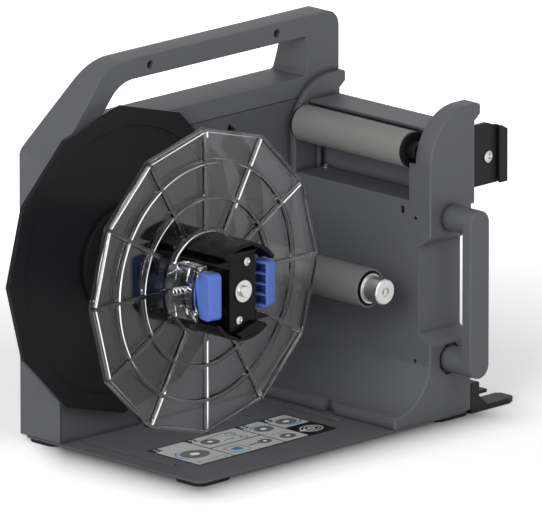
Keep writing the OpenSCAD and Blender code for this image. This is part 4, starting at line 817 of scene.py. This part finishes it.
def screw(points, out):
    """A pan head screw in place of a solid's points, its head at the out end. Rings r(a) at heights h: a
    cross recess, r = the farther of two crossed bars' edges, a crowned head h = H (1 - (1 - edge) (r / R)^2),
    then its seat, the shank and a chamfered tip. A nut at the tail is kept as a hexagon."""
    out = np.array(out, float)
    side = np.roll(out, 1)
    height = points @ out
    middle = (points.min(axis=0) + points.max(axis=0)) / 2
    across = points - middle
    radius = np.linalg.norm(across - np.outer(across @ out, out), axis=1)
    top, tip = height.max(), height.min()
    shank_r = radius[height < tip + MERGE].max()
    head_r = radius[height > top - MERGE].max()
    wide = radius > shank_r + HEAD_STEP
    upper = wide & (height > top - HEAD_MOST)
    seat = height[upper].min() if wide.any() else tip
    high = top - seat
    a = screw_angles()
    c, s = np.abs(np.cos(a)) + TINY, np.abs(np.sin(a)) + TINY
    bars = np.minimum(CROSS_LONG / c, CROSS_WIDE / s), np.minimum(CROSS_LONG / s, CROSS_WIDE / c)
    cross = head_r * np.maximum(*bars)
    rings = [(CROSS_FLOOR * cross, high * (1 - CROSS_DEEP))]
    rings += [(cross + (head_r - cross) * k, None) for k in HEAD_RINGS]
    rings += [(head_r + 0 * a, 0)]
    if wide.any():
        rings += [(shank_r + 0 * a, 0), (shank_r + 0 * a, tip - seat + TIP_LONG * shank_r),
                  (TIP_R * shank_r + 0 * a, tip - seat)]
    r = np.stack([ring for ring, _ in rings])
    crown = high * (1 - (1 - HEAD_EDGE) * (r / head_r) ** 2)
    h = np.stack([crown[i] if level is None else level + 0 * a for i, (_, level) in enumerate(rings)])
    origin = middle + (seat - middle @ out) * out
    across_a = np.cos(a)[:, None] * side + np.sin(a)[:, None] * np.cross(out, side)
    rows = origin + r[..., None] * across_a + h[..., None] * out
    meshes = [capped_tube(rows[::-1])]
    lower = wide & ~upper
    if lower.any():
        levels = height[lower] - seat
        meshes.append(nut(origin, out, side, radius[lower].max(), levels.min(), levels.max()))
    return meshes


def nut(origin, out, side, corner_r, low, high):
    """A hexagon nut: six sides between two heights, with its corners cut back at the free face."""
    steps = np.arange(NUT_STEPS)
    a = steps * 2 * math.pi / NUT_STEPS
    hexagon = corner_r * np.where(steps % 2, math.cos(math.pi / 6), 1)
    ends = [((1 - NUT_CUT) * corner_r + 0 * a, low), (hexagon, low + NUT_CUT * corner_r), (hexagon, high)]
    across = np.cos(a)[:, None] * side + np.sin(a)[:, None] * np.cross(out, side)
    return capped_tube(np.stack([origin + r[:, None] * across + h * out for r, h in ends]))


def add_screws():
    """Screw heads with their recesses. The bracket's big screw faces forwards and its small ones sideways."""
    for node, out in SCREWS.items():
        meshes = [mesh for points in solids(node) for mesh in screw(points, out)]
        add_stand_in(node + "_turned", meshes, node)
    meshes = []
    for points in solids(BRACKET_NODE):
        main = np.ptp(points[:, 2]) > MAIN_SCREW_WIDTH
        meshes += screw(points, (0, -1, 0) if main else (1, 0, 0))
    add_stand_in(BRACKET_NODE + "_turned", meshes, BRACKET_NODE)


# Numbered card on the base

CARD_LEFT, CARD_FRONT = 33 * MM, 34 * MM
CARD_WIDE, CARD_DEEP, CARD_CORNER = 147, 57, 3
SHEET_MM, PANEL_MM, INK_MM = 0.15, 0.05, 0.04
COLUMN_ENDS = 38, 92, 118
MARGIN, GUTTER, PANEL_CORNER, CORNER_STEPS = 1.6, 1.4, 1, 7
THIN, MEDIUM, THICK, HEAVY = 0.5, 0.6, 0.7, 0.9
SQUASH, LESS_SQUASH = 0.8, 0.9
TAB_WIDE, TAB_HIGH = 8, 7
DIGIT_LEFT, DIGIT_WIDE, DIGIT_DROP, DIGIT_HIGH = 2.4, 3.2, 5.8, 4.6
ROLL_TURNS, TURN_LINE, CORE_LINE = 4, 0.35, 0.4
ARROW_LINE, ARROW_HALF, ARROW_LONG = 1.1, 1.6, 2.6
CARD_LOOKS = {
    "sheet": ("black_plastic", (0.008, 0.008, 0.008)), "panels": ("roller_aluminium", (0.40, 0.40, 0.39)),
    "ink": ("black_plastic", (0.03, 0.03, 0.032)), "grey": ("roller_aluminium", (0.17, 0.17, 0.17)),
    "white": ("roller_aluminium", (0.72, 0.72, 0.72)), "blue": ("blue_plastic", (0.03, 0.20, 0.42)),
}


def slab(outline, low, high):
    """A flat piece of an outline between two heights, all in millimetres on the card."""
    flat = np.array(outline, float)
    level = np.ones((len(flat), 1))
    return capped_tube(np.stack([np.hstack([flat, level * low]), np.hstack([flat, level * high])]))


def stroke(path, width, low, high, closed=False):
    """A line of a given width along a path. Each point moves half the width along its mitre, the sum of its
    two sides' normals over 1 plus their product, to both sides."""
    path = np.array(path, float)
    ahead = np.roll(path, -1, axis=0) - path
    ahead /= np.linalg.norm(ahead, axis=1)[:, None]
    if not closed:
        ahead[-1] = ahead[-2]
    behind = np.roll(ahead, 1, axis=0)
    if not closed:
        behind[0] = ahead[0]
    n, m = (np.stack([-d[:, 1], d[:, 0]], -1) for d in (ahead, behind))
    shift = (n + m) / (1 + (n * m).sum(axis=1))[:, None] * width / 2
    left, right = path + shift, path - shift
    levels = [(right, low), (right, high), (left, high), (left, low)]
    rings = np.stack([np.hstack([side, np.full((len(path), 1), level)]) for side, level in levels], axis=1)
    if closed:
        points = rings.reshape(-1, 3)
        faces = np.array(ring_faces(len(path) + 1, len(levels))) % len(points)
        return points, faces.tolist()
    return capped_tube(rings)


def arc(centre, radius, start=0, end=360, steps=24, squash=1):
    """Points on an ellipse's arc, its height squash times its width, in degrees."""
    a = np.radians(np.linspace(start, end, steps, endpoint=end - start < 360))
    return np.stack([centre[0] + radius * np.cos(a), centre[1] + radius * squash * np.sin(a)], -1)


def rectangle(x0, y0, x1, y1, corner=0):
    """A rectangle's outline, with round corners where a radius is given."""
    if not corner:
        return np.array([(x0, y0), (x1, y0), (x1, y1), (x0, y1)], float)
    centres = [(x1 - corner, y0 + corner, 270), (x1 - corner, y1 - corner, 0), (x0 + corner, y1 - corner, 90),
               (x0 + corner, y0 + corner, 180)]
    return np.concatenate([arc((x, y), corner, a, a + 90, CORNER_STEPS) for x, y, a in centres])


DIGITS = {
    1: [[(0.2, 0.75), (0.55, 1), (0.55, 0)]],
    2: [[(0.05, 0.8), (0.25, 1), (0.7, 1), (0.9, 0.8), (0.9, 0.62), (0.05, 0), (0.95, 0)]],
    3: [[(0.05, 1), (0.9, 1), (0.45, 0.6), (0.75, 0.55), (0.92, 0.3), (0.75, 0.05), (0.4, 0),
         (0.05, 0.12)]],
    4: [[(0.7, 0), (0.7, 1), (0.05, 0.3), (0.95, 0.3)]],
}


class Card:
    """Collects the card's printed shapes by colour. Each lies on the one below it."""

    def __init__(self):
        self.shapes = {name: [] for name in CARD_LOOKS}
        self.top = SHEET_MM + PANEL_MM

    def heights(self, lift):
        """A printed shape's lower and upper face. The lift is how many inks high it lies."""
        return self.top - PANEL_MM / 2, self.top + lift * INK_MM

    def fill(self, colour, outline, lift=1):
        self.shapes[colour].append(slab(outline, *self.heights(lift)))

    def line(self, colour, path, width=THIN, closed=False, lift=1):
        self.shapes[colour].append(stroke(path, width, *self.heights(lift), closed))

    def number(self, digit, x, y):
        """A black tab at a panel's upper left corner, with a light digit on it."""
        self.fill("ink", rectangle(x, y - TAB_HIGH, x + TAB_WIDE, y))
        corner = np.array([x + DIGIT_LEFT, y - DIGIT_DROP])
        for path in DIGITS[digit]:
            self.line("white", corner + np.array(path) * (DIGIT_WIDE, DIGIT_HIGH), THICK, lift=2)

    def roll(self, x, y, radius, core):
        """A wound roll seen from its end: a grey disc with turns, and a light core."""
        self.fill("grey", arc((x, y), radius, squash=SQUASH))
        for k in np.linspace(1, 0, ROLL_TURNS, endpoint=False):
            self.line("ink", arc((x, y), core + (radius - core) * k, squash=SQUASH), TURN_LINE, True, 2)
        self.fill("white", arc((x, y), core, squash=SQUASH), 2)
        self.line("ink", arc((x, y), core, squash=SQUASH), CORE_LINE, True, 3)

    def arrow(self, colour, path):
        """A line with a pointed head at its end."""
        path = np.array(path, float)
        end = path[-1]
        along = end - path[-2]
        along /= np.linalg.norm(along)
        across = np.array([-along[1], along[0]])
        head = [end - ARROW_HALF * across, end + ARROW_LONG * along, end + ARROW_HALF * across]
        self.line(colour, path, ARROW_LINE, lift=3)
        self.fill(colour, head, 3)

    def place(self, meshes):
        """The shapes of one colour in metres, on the base plate's upper face, where the housing stands."""
        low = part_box("base_plate")[0]
        corner = np.array([low.x + CARD_LEFT, low.y + CARD_FRONT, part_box("main_shell")[0].z])
        points, faces = joined(meshes)
        return points * MM + corner, faces


def panel_outlines():
    """The low and high corners of the card's panels. The second column has two, and the last one is half as
    high."""
    first, second, third = COLUMN_ENDS
    low, high, middle = MARGIN, CARD_DEEP - MARGIN, CARD_DEEP / 2
    return [(MARGIN, low, first, high), (first + GUTTER, middle, second, high),
            (first + GUTTER, low, second, middle - GUTTER), (second + GUTTER, low, third, high),
            (third + GUTTER, middle, CARD_WIDE - MARGIN, high)]


NUMBERED_PANELS = 0, 1, 3, 4


def draw_fitting(card):
    """A roll that is turned on to the hub, above the base."""
    roll = 20, 25
    card.roll(*roll, 12.5, 4.5)
    card.arrow("blue", arc(roll, 16, 215, 130, 12, SQUASH))
    card.line("ink", [(6, 8), (34, 8)])
    card.line("ink", rectangle(6, 3.6, 34, 8, 1), closed=True)


def draw_web(card):
    """The web on its way from a roll round the two rollers."""
    card.roll(52, 41, 8, 2.6)
    card.line("ink", [(52, 47.4), (75, 52), (80, 47), (80, 34)], MEDIUM)
    card.line("ink", arc((78, 46), 4, squash=LESS_SQUASH), MEDIUM, True)
    card.line("ink", arc((80, 33), 3.2, squash=LESS_SQUASH), MEDIUM, True)
    card.arrow("blue", [(62, 36), (71, 36)])


def draw_lever(card):
    """A blue lever, and the roll that it holds."""
    card.line("ink", rectangle(45, 6, 62, 21, 3), MEDIUM, True)
    card.fill("blue", rectangle(49, 10, 58, 17, 1.5))
    card.arrow("ink", [(66, 13.5), (74, 13.5)])
    card.roll(83, 13.5, 6, 2.2)


def draw_fixing(card):
    """The web fixed to the core, before and after a turn."""
    roll = 106, 38
    card.roll(*roll, 8.5, 3)
    card.arrow("blue", arc(roll, 11.2, 140, 30, 10, SQUASH))
    card.line("ink", [(97, 22), (115, 22)])
    card.roll(106, 12, 7, 2.4)


def draw_winding(card):
    """A roll that winds up."""
    roll = 133, 41
    card.roll(*roll, 9, 3.2)
    card.arrow("blue", arc(roll, 12, 240, 330, 10, SQUASH))


def draw_flange(card):
    """The flange pushed on, in white on the bare sheet."""
    for radius, width in ((9.5, THICK), (6.4, THIN), (2.6, HEAVY)):
        card.line("white", arc((133, 14), radius, squash=SQUASH), width, True)
    card.arrow("white", [(121, 14), (126, 14)])


def add_card():
    """Four numbered panels: fit the roll, lead the web over the rollers, fix it to the core, and wind."""
    card = Card()
    card.shapes["sheet"].append(slab(rectangle(0, 0, CARD_WIDE, CARD_DEEP, CARD_CORNER), 0, SHEET_MM))
    panels = panel_outlines()
    for outline in panels:
        card.shapes["panels"].append(slab(rectangle(*outline, PANEL_CORNER), SHEET_MM / 2, card.top))
    for digit, k in enumerate(NUMBERED_PANELS, 1):
        card.number(digit, panels[k][0], panels[k][3])
    for draw in (draw_fitting, draw_web, draw_lever, draw_fixing, draw_winding, draw_flange):
        draw(card)
    for name, (slot, colour) in CARD_LOOKS.items():
        add_piece("card_" + name, *card.place(card.shapes[name]), BODY["base_plate"], slot,
                  finish("card_" + name, printed(colour)))


def dress_nodes():
    """Gives every CAD node its finish."""
    for node, shown in frame["nodes"].items():
        shown.data.materials.clear()
        shown.data.materials.append(look_of(node))


add_rounded_copies()
add_lever_springs()
add_arm_spring()
add_screws()
add_card()
dress_nodes()
add_studio()
add_camera()
